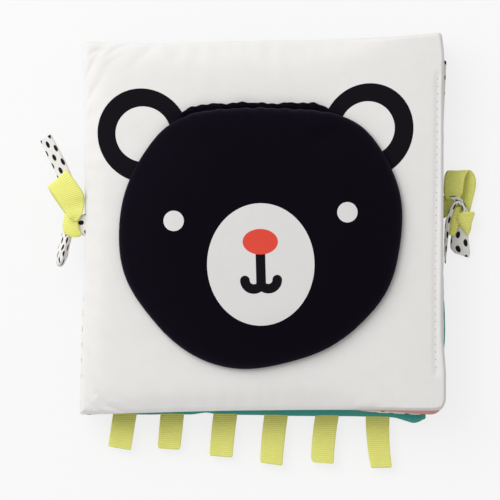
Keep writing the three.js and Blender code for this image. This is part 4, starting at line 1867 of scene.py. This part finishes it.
@dataclass
class RibbonTag:
    """A flat loop of ribbon sewn into the lower seam, in millimetres.

    Its four corners are photograph pixels.
    """

    number: int
    top_left: tuple[float, float]
    top_right: tuple[float, float]
    foot_left: tuple[float, float]
    foot_right: tuple[float, float]
    bow: float
    round_left: float
    round_right: float
    width: float = 12.7
    tuck: float = 4.0
    thickness: float = 0.5
    layer_gap: float = 0.55
    # How far from the seam the loop bends when it turns, up and down the page
    bend_reach: float = 1.6
    # The loop's height at its seam, and how its two layers hang further out
    seam_flatness: float = 0.62
    droop: float = 0.25
    ripple: float = 0.1
    # Share of the loop's length from which its lower corners are rounded
    round_from: float = 0.6
    # How much closer together the columns are near the ribbon's edges
    crowding: float = 0.09
    columns: int = 15
    step: float = 0.17
    bend_steps: int = 14

    def build(self, material: bpy.types.Material) -> bpy.types.Object:
        """Folds, ribs and hangs the loop.

        Args:
            material: The ribbon.

        Returns:
            The loop.
        """
        top_left, top_right, foot_left, foot_right = all_from_photo(
            [self.top_left, self.top_right, self.foot_left, self.foot_right]
        )
        left, right = foot_left - top_left, foot_right - top_right
        length = (np.linalg.norm(left) + np.linalg.norm(right)) / 2
        path = self._path(length)
        ahead = np.gradient(path, axis=0)
        normal = np.stack([-ahead[:, 1], ahead[:, 0]], axis=1)
        normal /= np.linalg.norm(normal, axis=1, keepdims=True)
        steps = np.linspace(0, 1, self.columns)
        share = steps - self.crowding * np.sin(2 * np.pi * steps)
        across = share[None, :, None]
        half = self.thickness / 2 * edge_rounding(share, 12, 0.06)
        cut = self._cut(share)
        sections = np.empty((len(path), 2, self.columns, 3))
        for face, sign in enumerate((1.0, -1.0)):
            offset = path[:, None] + sign * normal[:, None] * half[None, :, None]
            along = np.clip(offset[..., 0] / length, None, 1.0)
            rounded = smooth((along - self.round_from) / (1 - self.round_from))
            along = along - cut[None] / length * rounded
            run = along[..., None]
            place = (top_left + run * left) * (1 - across) + (top_right + run * right) * across
            place[..., 0] += self.bow * 4 * along * (along - 1)
            free = smooth(along * 4)
            hang = self.droop * np.sin(along * 3.0)
            hang = hang + self.ripple * np.sin(share * 6 + self.number)[None]
            flat = self.seam_flatness + (1 - self.seam_flatness) * free
            sections[:, face, :, :2] = place
            sections[:, face, :, 2] = offset[..., 1] * flat + hang * free
        x, y, z = JOINT_PLACES[f"tag_{self.number}_bend"]
        sections *= MM
        sections[..., 2] += z
        travelled = length_along(path) * MM
        name = f"ribbon_tag_{self.number}_loop"
        tag = band(name, sections, travelled, self.width * MM, material)
        Ribs().raise_on(tag, material)
        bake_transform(tag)
        return finish_piece(tag, None, [f"ribbon_tag_{self.number}"])

    def _path(self, length: float) -> np.ndarray:
        """The loop from the side.

        Args:
            length: How far the loop reaches from the seam.

        Returns:
            Its line, out over its upper layer and back under it.
        """
        radius = (self.thickness + self.layer_gap) / 2
        run = np.arange(-self.tuck, length - radius, self.step)
        bend = np.linspace(np.pi / 2, -np.pi / 2, self.bend_steps)
        turned = np.stack([length - radius + radius * np.cos(bend), radius * np.sin(bend)], axis=1)
        out, back = (np.column_stack([run, np.full(len(run), z)]) for z in (radius, -radius))
        return np.concatenate([out, turned, back[::-1]])

    def _cut(self, share: np.ndarray) -> np.ndarray:
        """How much of the loop's length its two round corners take away.

        Args:
            share: Places across the ribbon, from 0 to 1.

        Returns:
            The length that is cut away at each place.
        """
        cut = np.zeros(len(share))
        for size, off in ((self.round_left, share), (self.round_right, 1 - share)):
            near = 1 - np.minimum(off * self.width / size, 1)
            cut += size * (1 - np.sqrt(np.clip(1 - near**2, 0, 1)))
        return cut


class Weave(Enum):
    """The two kinds of band in a tie, by the record's slots."""

    RIBBON = "lime_ribbon"
    TAPE = "dotted_strap"


@dataclass
class TieBand:
    """A stretch of ribbon or tape, from the places of its two edges.

    Each edge is a list of photograph column, photograph row and height in millimetres.
    """

    name: str
    nodes: list[str]
    weave: Weave
    left: list[tuple[float, float, float]]
    right: list[tuple[float, float, float]]
    thickness: float = 0.5
    cloth_width: float = 12.7
    camber: float = 0.0
    # Height of the creases, how many run side by side, and how they wander along
    crease: float = 0.0
    crease_rate: float = 9.0
    crease_wander: float = 1.5
    wander_rate: float = 0.5
    along_from: float = 0.0
    columns: int = 13
    step: float = 0.17
    fewest_steps: int = 24

    def build(self, body: str, finishes: Finishes) -> bpy.types.Object:
        """Bends the band along its edges.

        Args:
            body: The page that the tie is sewn to.
            finishes: The materials.

        Returns:
            The band.
        """
        edges = np.array([
            [(*from_photo(x, y), z) for x, y, z in edge] for edge in (self.left, self.right)
        ])
        length = length_along(edges.mean(axis=0))[-1]
        count = max(self.fewest_steps, int(length / self.step))
        left, right = (flowing(edge, count) for edge in edges)
        middle = (left + right) / 2
        travelled = length_along(middle)
        normal = np.cross(np.gradient(middle, axis=0), right - left)
        normal /= np.linalg.norm(normal, axis=1, keepdims=True)
        share = np.linspace(0, 1, self.columns)
        across = share[None, :, None]
        flat = left[:, None] * (1 - across) + right[:, None] * across
        bulge = self.camber * 4 * share * (1 - share)
        wander = self.crease_wander * np.sin(travelled[:, None] * self.wander_rate)
        phase = share[None] * self.crease_rate + wander + len(self.name)
        fold = self.crease * np.sin(phase)
        half = self.thickness / 2 * edge_rounding(share, 8, 0.08)
        sections = np.empty((count, 2, self.columns, 3))
        for face, sign in enumerate((1.0, -1.0)):
            out = bulge[None] + fold + sign * half[None]
            sections[:, face] = flat + normal[:, None] * out[..., None]
        along = (travelled + self.along_from) * MM
        ribbon = self.weave is Weave.RIBBON
        material = finishes.lime if ribbon else finishes.tape
        piece = band(self.name, sections * MM, along, self.cloth_width * MM, material)
        if ribbon:
            Ribs().raise_on(piece, material)
        return finish_piece(piece, body, self.nodes)


@dataclass
class KnotWrap:
    """A short turn of ribbon pulled round a knot, in photograph pixels and millimetres."""

    name: str
    node: str
    centre: tuple[float, float, float]
    half_width: float
    half_depth: float
    width: float
    turn: float
    bulge: float = 0.5
    pinch: float = 0.0
    thickness: float = 0.6
    selvedge: float = 0.4
    # Where the turn starts and ends, in half turns from the knot's side
    wound: tuple[float, float] = (-0.6, 1.55)
    columns: int = 11
    steps: int = 150

    def build(self, body: str, finishes: Finishes) -> bpy.types.Object:
        """Winds the turn.

        Args:
            body: The page that the tie is sewn to.
            finishes: The materials.

        Returns:
            The wrap.
        """
        column, row, height = self.centre
        centre = np.array([*from_photo(column, row), height])
        start, end = self.wound
        angle = np.linspace(start * np.pi, end * np.pi, self.steps)[:, None]
        share = np.linspace(0, 1, self.columns)
        lean = math.radians(self.turn)
        u = np.array([math.cos(lean), math.sin(lean), 0.0])
        v = np.array([-math.sin(lean), math.cos(lean), 0.0])
        up = np.array([0.0, 0.0, 1.0])
        bulge = self.bulge * 4 * share * (1 - share)
        half = self.thickness / 2 * edge_rounding(share, 8, 0.08)
        pinch = 1 - self.pinch * np.cos(angle) ** 2
        offset = ((share - 0.5)[None] * self.width * pinch)[..., None]
        sections = np.empty((self.steps, 2, self.columns, 3))
        for face, sign in enumerate((1.0, -1.0)):
            out = (bulge + sign * half)[None]
            wide = ((self.half_width + out) * np.cos(angle))[..., None]
            deep = ((self.half_depth + out) * np.sin(angle))[..., None]
            sections[:, face] = centre + wide * u + offset * v + deep * up
        travelled = length_along(sections[:, 0, self.columns // 2])
        piece = band(
            self.name, sections * MM, travelled * MM, self.width * MM, finishes.lime,
            selvedge=self.selvedge * MM,
        )
        Ribs().raise_on(piece, finishes.lime)
        return finish_piece(piece, body, [self.node])


# ---------------------------------------------------------------------------------------------
# Ties
# ---------------------------------------------------------------------------------------------


@dataclass
class Tie:
    """Knotted ribbon and tape on the free edge of a page."""

    body: str
    bands: list[TieBand]
    knot: KnotWrap

    def build(self, finishes: Finishes) -> None:
        """Builds the tie's pieces.

        Args:
            finishes: The materials.
        """
        for piece in (*self.bands, self.knot):
            piece.build(self.body, finishes)


LEFT_TIE = Tie(
    "front_page",
    [
        TieBand(
            "left_tie_loop", ["tie_left_ribbon"], Weave.RIBBON,
            [
                (71.6, 220.9, 28.9), (68.9, 216.9, 29.6), (63.6, 209.3, 28.4),
                (57.2, 200.3, 28.3), (51.6, 192.6, 28.0), (48.3, 188.0, 27.3),
                (47.8, 187.3, 26.2), (52.0, 195.5, 25.4), (58.5, 205.0, 25.3),
                (65.3, 214.3, 25.4), (69.7, 220.0, 25.7),
            ],
            [
                (77.2, 220.6, 28.4), (82.2, 213.6, 27.6), (84.3, 203.0, 26.4),
                (83.2, 192.7, 27.9), (74.8, 180.2, 28.1), (68.1, 171.3, 27.3),
                (67.3, 170.4, 26.2), (73.3, 180.5, 25.2), (80.2, 192.5, 25.0),
                (80.5, 208.0, 24.8), (76.4, 220.0, 25.4),
            ],
            camber=0.35,
        ),
        TieBand(
            "left_tie_tail", ["tie_left_ribbon_tail"], Weave.RIBBON,
            [
                (67.5, 209.0, 26.3), (65.0, 213.5, 26.6), (63.2, 220.0, 26.9),
                (62.5, 227.0, 27.0), (64.3, 233.2, 26.7), (69.0, 236.6, 26.2),
            ],
            [
                (77.0, 217.0, 26.5), (77.6, 219.6, 26.7), (78.2, 223.0, 27.0),
                (79.2, 228.5, 27.1), (81.6, 234.6, 26.8), (79.0, 236.8, 26.2),
            ],
            camber=0.7,
        ),
        TieBand(
            "left_tie_tape", ["tie_left_strap"],
            left=[
                (40.1, 140.8, 23.2), (47.8, 157.0, 23.5), (56.2, 174.8, 23.6),
                (62.5, 193.0, 23.8), (68.0, 212.0, 24.3),
            ],
            right=[
                (50.6, 133.9, 22.8), (59.4, 150.0, 22.9), (69.8, 171.0, 23.0),
                (75.5, 190.0, 23.4), (76.0, 211.0, 24.2),
            ],
            weave=Weave.TAPE, thickness=1.1, cloth_width=9.6, camber=0.35, crease=0.12,
        ),
        TieBand(
            "left_tie_hanging_tape", ["tie_left_strap_loop"],
            left=[
                (62.0, 233.0, 24.2), (58.8, 246.0, 23.9), (56.3, 256.5, 23.8),
                (57.2, 265.0, 23.8), (61.6, 266.2, 23.8), (66.4, 258.5, 23.9),
                (69.2, 247.0, 24.0), (71.6, 235.0, 24.3),
            ],
            right=[
                (67.0, 233.5, 26.6), (63.9, 246.5, 26.9), (60.0, 254.5, 27.0),
                (59.8, 260.8, 27.0), (61.4, 260.8, 27.0), (62.2, 254.5, 27.0),
                (64.8, 246.0, 26.9), (67.4, 234.5, 26.6),
            ],
            weave=Weave.TAPE, thickness=0.7, cloth_width=8.6, crease=0.1,
        ),
        TieBand(
            "left_tie_root", ["tie_left_strap_root"],
            left=[
                (73.0, 218.5, 25.4), (78.0, 217.2, 25.3), (83.0, 214.2, 25.0),
                (88.0, 213.6, 24.9),
            ],
            right=[
                (73.0, 229.0, 25.2), (78.2, 231.8, 25.1), (83.0, 235.6, 24.8),
                (88.0, 236.0, 24.7),
            ],
            weave=Weave.TAPE, thickness=1.1, cloth_width=9.6, camber=0.2,
        ),
    ],
    KnotWrap("left_tie_knot", "tie_left_knot", (72.6, 217.6, 26.0), 3.1, 1.2, 3.6, turn=-8),
)

RIGHT_TIE = Tie(
    "back_page",
    [
        TieBand(
            "right_tie_loop", ["tie_right_ribbon"], Weave.RIBBON,
            [
                (461.5, 213.0, 3.0), (457.5, 201.0, 1.8), (454.0, 188.0, 1.3),
                (452.0, 177.0, 1.6), (448.6, 170.5, 4.0), (445.4, 175.5, 6.6),
                (444.5, 185.0, 7.2), (444.5, 193.0, 7.0), (446.5, 199.5, 6.2),
            ],
            [
                (471.0, 211.0, 4.0), (474.4, 197.5, 3.6), (477.0, 185.0, 3.8),
                (475.8, 175.5, 4.6), (470.8, 169.9, 6.6), (466.4, 174.5, 8.6),
                (464.4, 184.0, 9.0), (463.2, 193.0, 8.8), (459.5, 200.0, 7.4),
            ],
            camber=-0.3,
        ),
        TieBand(
            "right_tie_root", ["tie_right_ribbon_root"], Weave.RIBBON,
            [
                (439.5, 196.0, 4.8), (444.5, 195.4, 4.9), (450.5, 196.8, 5.6),
                (457.5, 202.5, 6.0), (462.0, 209.0, 6.0),
            ],
            [
                (439.5, 217.5, 4.8), (444.5, 218.2, 4.9), (450.0, 215.0, 5.2),
                (456.5, 215.0, 5.6), (461.5, 217.0, 5.6),
            ],
            camber=0.5,
        ),
        TieBand(
            "right_tie_tail", ["tie_right_ribbon_tail"], Weave.RIBBON,
            [
                (452.5, 206.0, 6.4), (450.4, 216.0, 6.6), (449.0, 226.0, 6.6),
                (448.4, 234.6, 6.2),
            ],
            [
                (461.5, 207.0, 6.6), (461.0, 217.0, 6.8), (459.3, 227.0, 6.8),
                (455.6, 235.8, 6.4),
            ],
            camber=0.6,
        ),
        TieBand(
            "right_tie_tape", ["tie_right_strap"],
            left=[
                (459.5, 213.0, 4.9), (456.2, 225.0, 4.7), (452.2, 235.0, 4.3),
                (451.2, 244.0, 4.1), (451.7, 248.5, 3.9), (455.6, 252.8, 3.6),
            ],
            right=[
                (467.6, 213.0, 5.3), (468.6, 226.0, 5.2), (469.2, 236.0, 5.0),
                (470.3, 247.0, 4.5), (470.9, 253.0, 4.2), (469.6, 257.6, 3.9),
            ],
            weave=Weave.TAPE, thickness=1.1, cloth_width=9.9, camber=0.5, crease=0.15,
        ),
        TieBand(
            "right_tie_collar", [], Weave.RIBBON,
            [
                (457.9, 214.8, 8.1), (458.4, 218.5, 8.5), (460.4, 225.0, 8.1),
                (464.4, 230.6, 7.4), (468.0, 234.9, 6.5),
            ],
            [
                (474.7, 213.2, 7.6), (474.5, 217.6, 8.1), (472.6, 223.0, 8.1),
                (471.9, 229.0, 7.4), (469.5, 235.3, 6.5),
            ],
            camber=0.9,
        ),
        TieBand(
            "right_tie_back_strand", [], Weave.TAPE,
            left=[
                (470.2, 214.0, 7.2), (467.6, 208.0, 7.8), (464.3, 201.3, 8.0),
                (460.3, 197.3, 8.0), (455.6, 196.0, 7.8), (449.8, 196.5, 7.4),
            ],
            right=[
                (466.4, 214.2, 7.2), (464.0, 208.6, 7.8), (461.3, 204.2, 8.0),
                (458.2, 201.6, 8.0), (454.6, 200.0, 7.8), (451.4, 198.4, 7.4),
            ],
            thickness=0.7, cloth_width=4.6, along_from=2.5,
        ),
        TieBand(
            "right_tie_strand", ["tie_right_strand"],
            left=[
                (467.0, 214.0, 8.2), (465.2, 206.5, 9.0), (461.5, 201.2, 9.4),
                (457.8, 200.2, 9.5), (453.8, 203.6, 9.4), (449.4, 211.6, 9.2),
                (446.2, 220.0, 8.8), (445.4, 228.0, 8.4), (445.1, 238.0, 7.6),
                (445.0, 249.0, 6.6), (445.4, 263.0, 5.6),
            ],
            right=[
                (464.0, 214.4, 8.0), (462.6, 207.8, 8.8), (460.2, 203.8, 9.2),
                (458.4, 203.2, 9.3), (456.6, 205.8, 9.3), (453.4, 212.6, 9.2),
                (451.2, 220.6, 8.9), (450.0, 230.0, 8.4), (448.8, 240.6, 7.6),
                (447.6, 251.0, 6.6), (446.6, 263.6, 5.6),
            ],
            weave=Weave.TAPE, thickness=0.7, cloth_width=5.4, camber=0.2,
        ),
    ],
    KnotWrap(
        "right_tie_knot", "tie_right_knot", (466.3, 214.4, 6.4), 4.1, 2.3, 3.2, turn=5,
        bulge=0.6, pinch=0.3,
    ),
)


# ---------------------------------------------------------------------------------------------
# Stage
# ---------------------------------------------------------------------------------------------


@dataclass
class Studio:
    """Pale floor, soft light from the upper left and a long lens straight above."""

    centre_pixel: tuple[float, float] = (250.0, 250.0)
    distance: float = 6.0
    focus_height: float = 0.0296
    sensor: float = 36.0
    key_power: float = 14.8
    key_size: float = 1.15
    key_place: tuple[float, float, float] = (-0.68, 0.62, 1.05)
    world_strength: float = 0.54
    floor_half: float = 3.0
    floor_drop: float = 0.0002
    # How much of the floor that the camera sees is its own light
    floor_glow: float = 0.82

    def build(self) -> None:
        """Places the camera, the lamp, the world and the floor."""
        scene = bpy.context.scene
        x, y = (v * MM for v in from_photo(*self.centre_pixel))
        lens = bpy.data.cameras.new("overhead_lens")
        lens.sensor_width = self.sensor
        lens.sensor_fit = "HORIZONTAL"
        lens.lens = self.sensor * self.distance / (PHOTO_PIXELS * MM_PER_PIXEL * MM)
        lens.clip_start, lens.clip_end = 0.05, 20
        camera = bpy.data.objects.new("overhead_camera", lens)
        camera.location = (x, y, self.focus_height + self.distance)
        scene.collection.objects.link(camera)
        scene.camera = camera
        scene.view_settings.view_transform = "Standard"
        self._key()
        world = bpy.data.worlds.new("studio_air")
        world.use_nodes = True
        world.node_tree.nodes.clear()
        glow = add_node(
            world.node_tree, "ShaderNodeBackground",
            {"Color": (1.0, 1.0, 1.0, 1.0), "Strength": self.world_strength},
        )
        add_node(world.node_tree, "ShaderNodeOutputWorld", {"Surface": glow.outputs[0]})
        scene.world = world
        self._floor()

    def _key(self) -> None:
        """The key light, a square soft box that faces the book."""
        data = bpy.data.lights.new("key", "AREA")
        data.energy = self.key_power
        data.size = self.key_size
        lamp = bpy.data.objects.new("key", data)
        lamp.location = self.key_place
        facing = (-Vector(self.key_place)).to_track_quat("-Z", "Y")
        lamp.rotation_euler = facing.to_euler()
        bpy.context.scene.collection.objects.link(lamp)

    def _floor(self) -> None:
        """A pale sheet that keeps the book's shadow and reads as the photograph's white."""
        half, z = self.floor_half, -self.floor_drop
        corners = [(-half, -half, z), (half, -half, z), (half, half, z), (-half, half, z)]
        # Uncoated white studio paper
        material, shader = new_material(
            "matt_studio_paper", {"Base Color": linear("#F2F2F2"), "Roughness": 0.9}
        )
        tree = material.node_tree
        camera_ray = add_node(tree, "ShaderNodeLightPath").outputs["Is Camera Ray"]
        light = {"Color": linear("#FAFAFA"), "Strength": 1.0}
        glow = add_node(tree, "ShaderNodeEmission", light).outputs[0]
        share = maths(tree, "MULTIPLY", camera_ray, self.floor_glow)
        mix = add_node(
            tree, "ShaderNodeMixShader", {0: share, 1: shader.outputs[0], 2: glow}
        )
        output = next(n for n in tree.nodes if n.bl_idname == "ShaderNodeOutputMaterial")
        tree.links.new(mix.outputs[0], output.inputs["Surface"])
        floor = make_object("studio_floor", corners, [(0, 1, 2, 3)], [material])


# ---------------------------------------------------------------------------------------------
# The book
# ---------------------------------------------------------------------------------------------


@dataclass
class ActivityBook:
    """The whole book, page by page from the back."""

    finishes: Finishes = field(default_factory=Finishes)

    def build(self) -> None:
        """Builds every piece in order."""
        self._pages()
        self._folds()
        self._tags()
        for tie in (LEFT_TIE, RIGHT_TIE):
            tie.build(self.finishes)

    def _pages(self) -> None:
        """The three pages, with the bear on the front one."""
        f = self.finishes
        back = PagePad(
            "back_page_pad", "back_page", 0.0,
            [(83.5, 413.6), (426.9, 421.2), (444.0, 40.0), (84.5, 45.0)],
            [3.2, 2.2, 3.2, 3.2], 1, 0,
            ["back_outer_cloth", "back_face_cloth", "back_batting"], "teal_cloth",
            cells=(104, 50), foot_trim=0.5,
            edges={
                Side.FOOT: [
                    (121.0, 415.6), (150.0, 416.0), (170.0, 415.4), (192.0, 416.0),
                    (203.0, 414.2), (209.0, 413.4), (213.0, 415.4), (218.0, 416.0),
                    (260.0, 416.4), (288.0, 417.3), (350.0, 417.6), (390.0, 418.4),
                    (397.0, 419.3), (404.0, 421.6), (409.0, 423.3), (414.0, 424.8),
                    (418.0, 423.6), (421.8, 422.2),
                ],
                Side.RIGHT: [
                    (425.8, 416.0), (431.0, 402.0), (438.5, 382.0), (444.2, 358.0),
                    (445.9, 345.0), (446.3, 328.0), (445.7, 306.0), (443.9, 288.0),
                    (442.8, 200.0), (442.8, 80.0),
                ],
                Side.LEFT: [(86.5, 120.0), (87.0, 240.0), (85.0, 330.0)],
            },
        )
        back.build(f.teal, f.cover)
        middle = PagePad(
            "middle_page_pad", "middle_page", 10.0,
            [(80.2, 415.4), (428.8, 415.3), (447.4, 59.5), (85.0, 46.0)],
            [2.0, 2.0, 1.6, 3.2], -1, 1,
            ["middle_back_cloth", "middle_face_cloth", "middle_batting", "crinkle_film"],
            "dotted_cloth",
            cells=(84, 60),
            edges={
                Side.FOOT: [
                    (88.0, 415.8), (95.0, 415.6), (112.0, 412.5), (200.0, 409.5),
                    (340.0, 409.5), (366.0, 412.4), (377.0, 413.8), (384.0, 414.0),
                    (400.0, 414.7), (408.0, 415.2), (419.0, 415.7),
                ],
                Side.RIGHT: [
                    (431.5, 407.0), (439.0, 399.0), (443.5, 385.0), (444.5, 360.0),
                    (443.8, 300.0), (443.4, 200.0), (444.0, 140.0), (444.8, 112.0),
                    (445.8, 92.0), (446.9, 68.0),
                ],
                Side.HEAD: [(441.0, 54.0), (430.0, 46.0), (400.0, 43.0), (200.0, 46.0)],
                Side.LEFT: [
                    (85.4, 90.0), (85.8, 235.0), (84.0, 258.0), (83.3, 285.0),
                    (82.3, 302.0), (81.5, 325.0), (81.0, 340.0), (80.0, 380.0),
                    (80.2, 398.0),
                ],
            },
        )
        middle.build(f.dotted, f.dotted)
        front = PagePad(
            "cover_page", "front_page", 20.0,
            [(79.0, 414.9), (446.7, 414.9), (442.6, 31.9), (82.9, 40.4)],
            [1.8, 9.2, 2.4, 1.8], 0, -1,
            ["front_lining_cloth", "front_cover_cloth", "front_batting"], "cover_cloth",
            cells=(84, 88), roll_from=(338.0, 410.1),
            edges={
                Side.FOOT: [
                    (121.0, 414.1), (150.0, 413.2), (183.0, 412.2), (230.0, 411.1),
                    (300.0, 410.4), (338.0, 410.3), (346.0, 411.3), (390.0, 412.3),
                    (405.0, 413.4), (418.0, 414.4),
                ],
                Side.RIGHT: [
                    (446.6, 372.0), (445.2, 354.0), (443.8, 338.0), (443.5, 300.0),
                    (443.8, 270.0), (444.2, 180.0), (444.0, 90.0),
                    (444.9, 58.0), (444.0, 46.0),
                ],
                Side.HEAD: [
                    (430.0, 33.0), (400.0, 35.8), (350.0, 38.0), (300.0, 40.2),
                    (260.0, 40.2), (200.0, 42.0), (150.0, 42.9), (100.0, 41.9),
                ],
                Side.LEFT: [
                    (83.2, 60.0), (84.0, 90.0), (84.3, 240.0), (84.0, 270.0),
                    (82.9, 300.0), (81.6, 340.0), (80.6, 380.0),
                ],
            },
        )
        cover = front.build(f.cover, f.coral)
        row = Topstitch([(438, 75), (437, 165), (435.5, 270), (435.5, 360), (436.5, 374)])
        row.press(cover)
        head = BearHead()
        head.hem.press(cover)
        surface = Surface(cover)
        row.build(surface, f)
        flap = head.build(f)
        Face().build(surface, Surface(flap), f)

    def _folds(self) -> None:
        """The two bands of cloth at the folds."""
        FoldWeb(
            "right_fold_web", ("middle_page", "front_page"), RIGHT_FOLD_X, RIGHT_FOLD_Z, 1,
            [(443.0, 58.0), (444.4, 68.0), (443.9, 130.0), (443.3, 200.0), (444.1, 290.0),
             (444.0, 360.0), (443.0, 400.0)],
            ["front_fold_strip", "middle_fold_strip_right"], "cover_cloth",
        ).build(self.finishes.cover)
        FoldWeb(
            "left_fold_web", ("back_page", "middle_page"), LEFT_FOLD_X, LEFT_FOLD_Z, -1,
            [(85.2, 50.0), (86.0, 90.0), (86.4, 235.0), (84.8, 262.0), (84.0, 290.0),
             (82.0, 340.0), (80.9, 380.0), (81.2, 400.0)],
            ["back_fold_strip", "middle_fold_strip_left"], "dotted_cloth",
        ).build(self.finishes.dotted)

    def _tags(self) -> None:
        """The six ribbon loops along the lower seam."""
        corners = [
            ((112.5, 414.5), (136.3, 414.5), (107.5, 447.0), (130.3, 451.0)),
            ((160.2, 414.5), (183.9, 414.5), (157.1, 449.0), (179.9, 450.5)),
            ((213.3, 414.5), (237.4, 414.5), (209.3, 456.3), (232.4, 458.3)),
            ((264.3, 415.8), (288.2, 415.8), (260.0, 463.3), (282.5, 466.4)),
            ((315.6, 416.0), (339.3, 416.0), (311.2, 463.0), (334.0, 464.8)),
            ((366.2, 417.5), (390.2, 417.5), (371.5, 468.8), (392.6, 468.4)),
        ]
        # How far each loop bows to the left, and the radii of its two lower corners
        forms = [
            (0.0, 0.5, 0.5), (0.0, 1.6, 1.6), (0.2, 0.8, 0.8),
            (0.3, 1.2, 0.6), (0.5, 2.4, 0.9), (0.7, 0.5, 0.9),
        ]
        for number, (points, form) in enumerate(zip(corners, forms), start=1):
            RibbonTag(number, *points, *form).build(self.finishes.lime)


def main() -> None:
    """Builds the stage and the book."""
    logging.basicConfig(level=logging.INFO, format="%(name)s: %(message)s")
    Studio().build()
    ActivityBook().build()


if __name__ == "__main__":
    main()
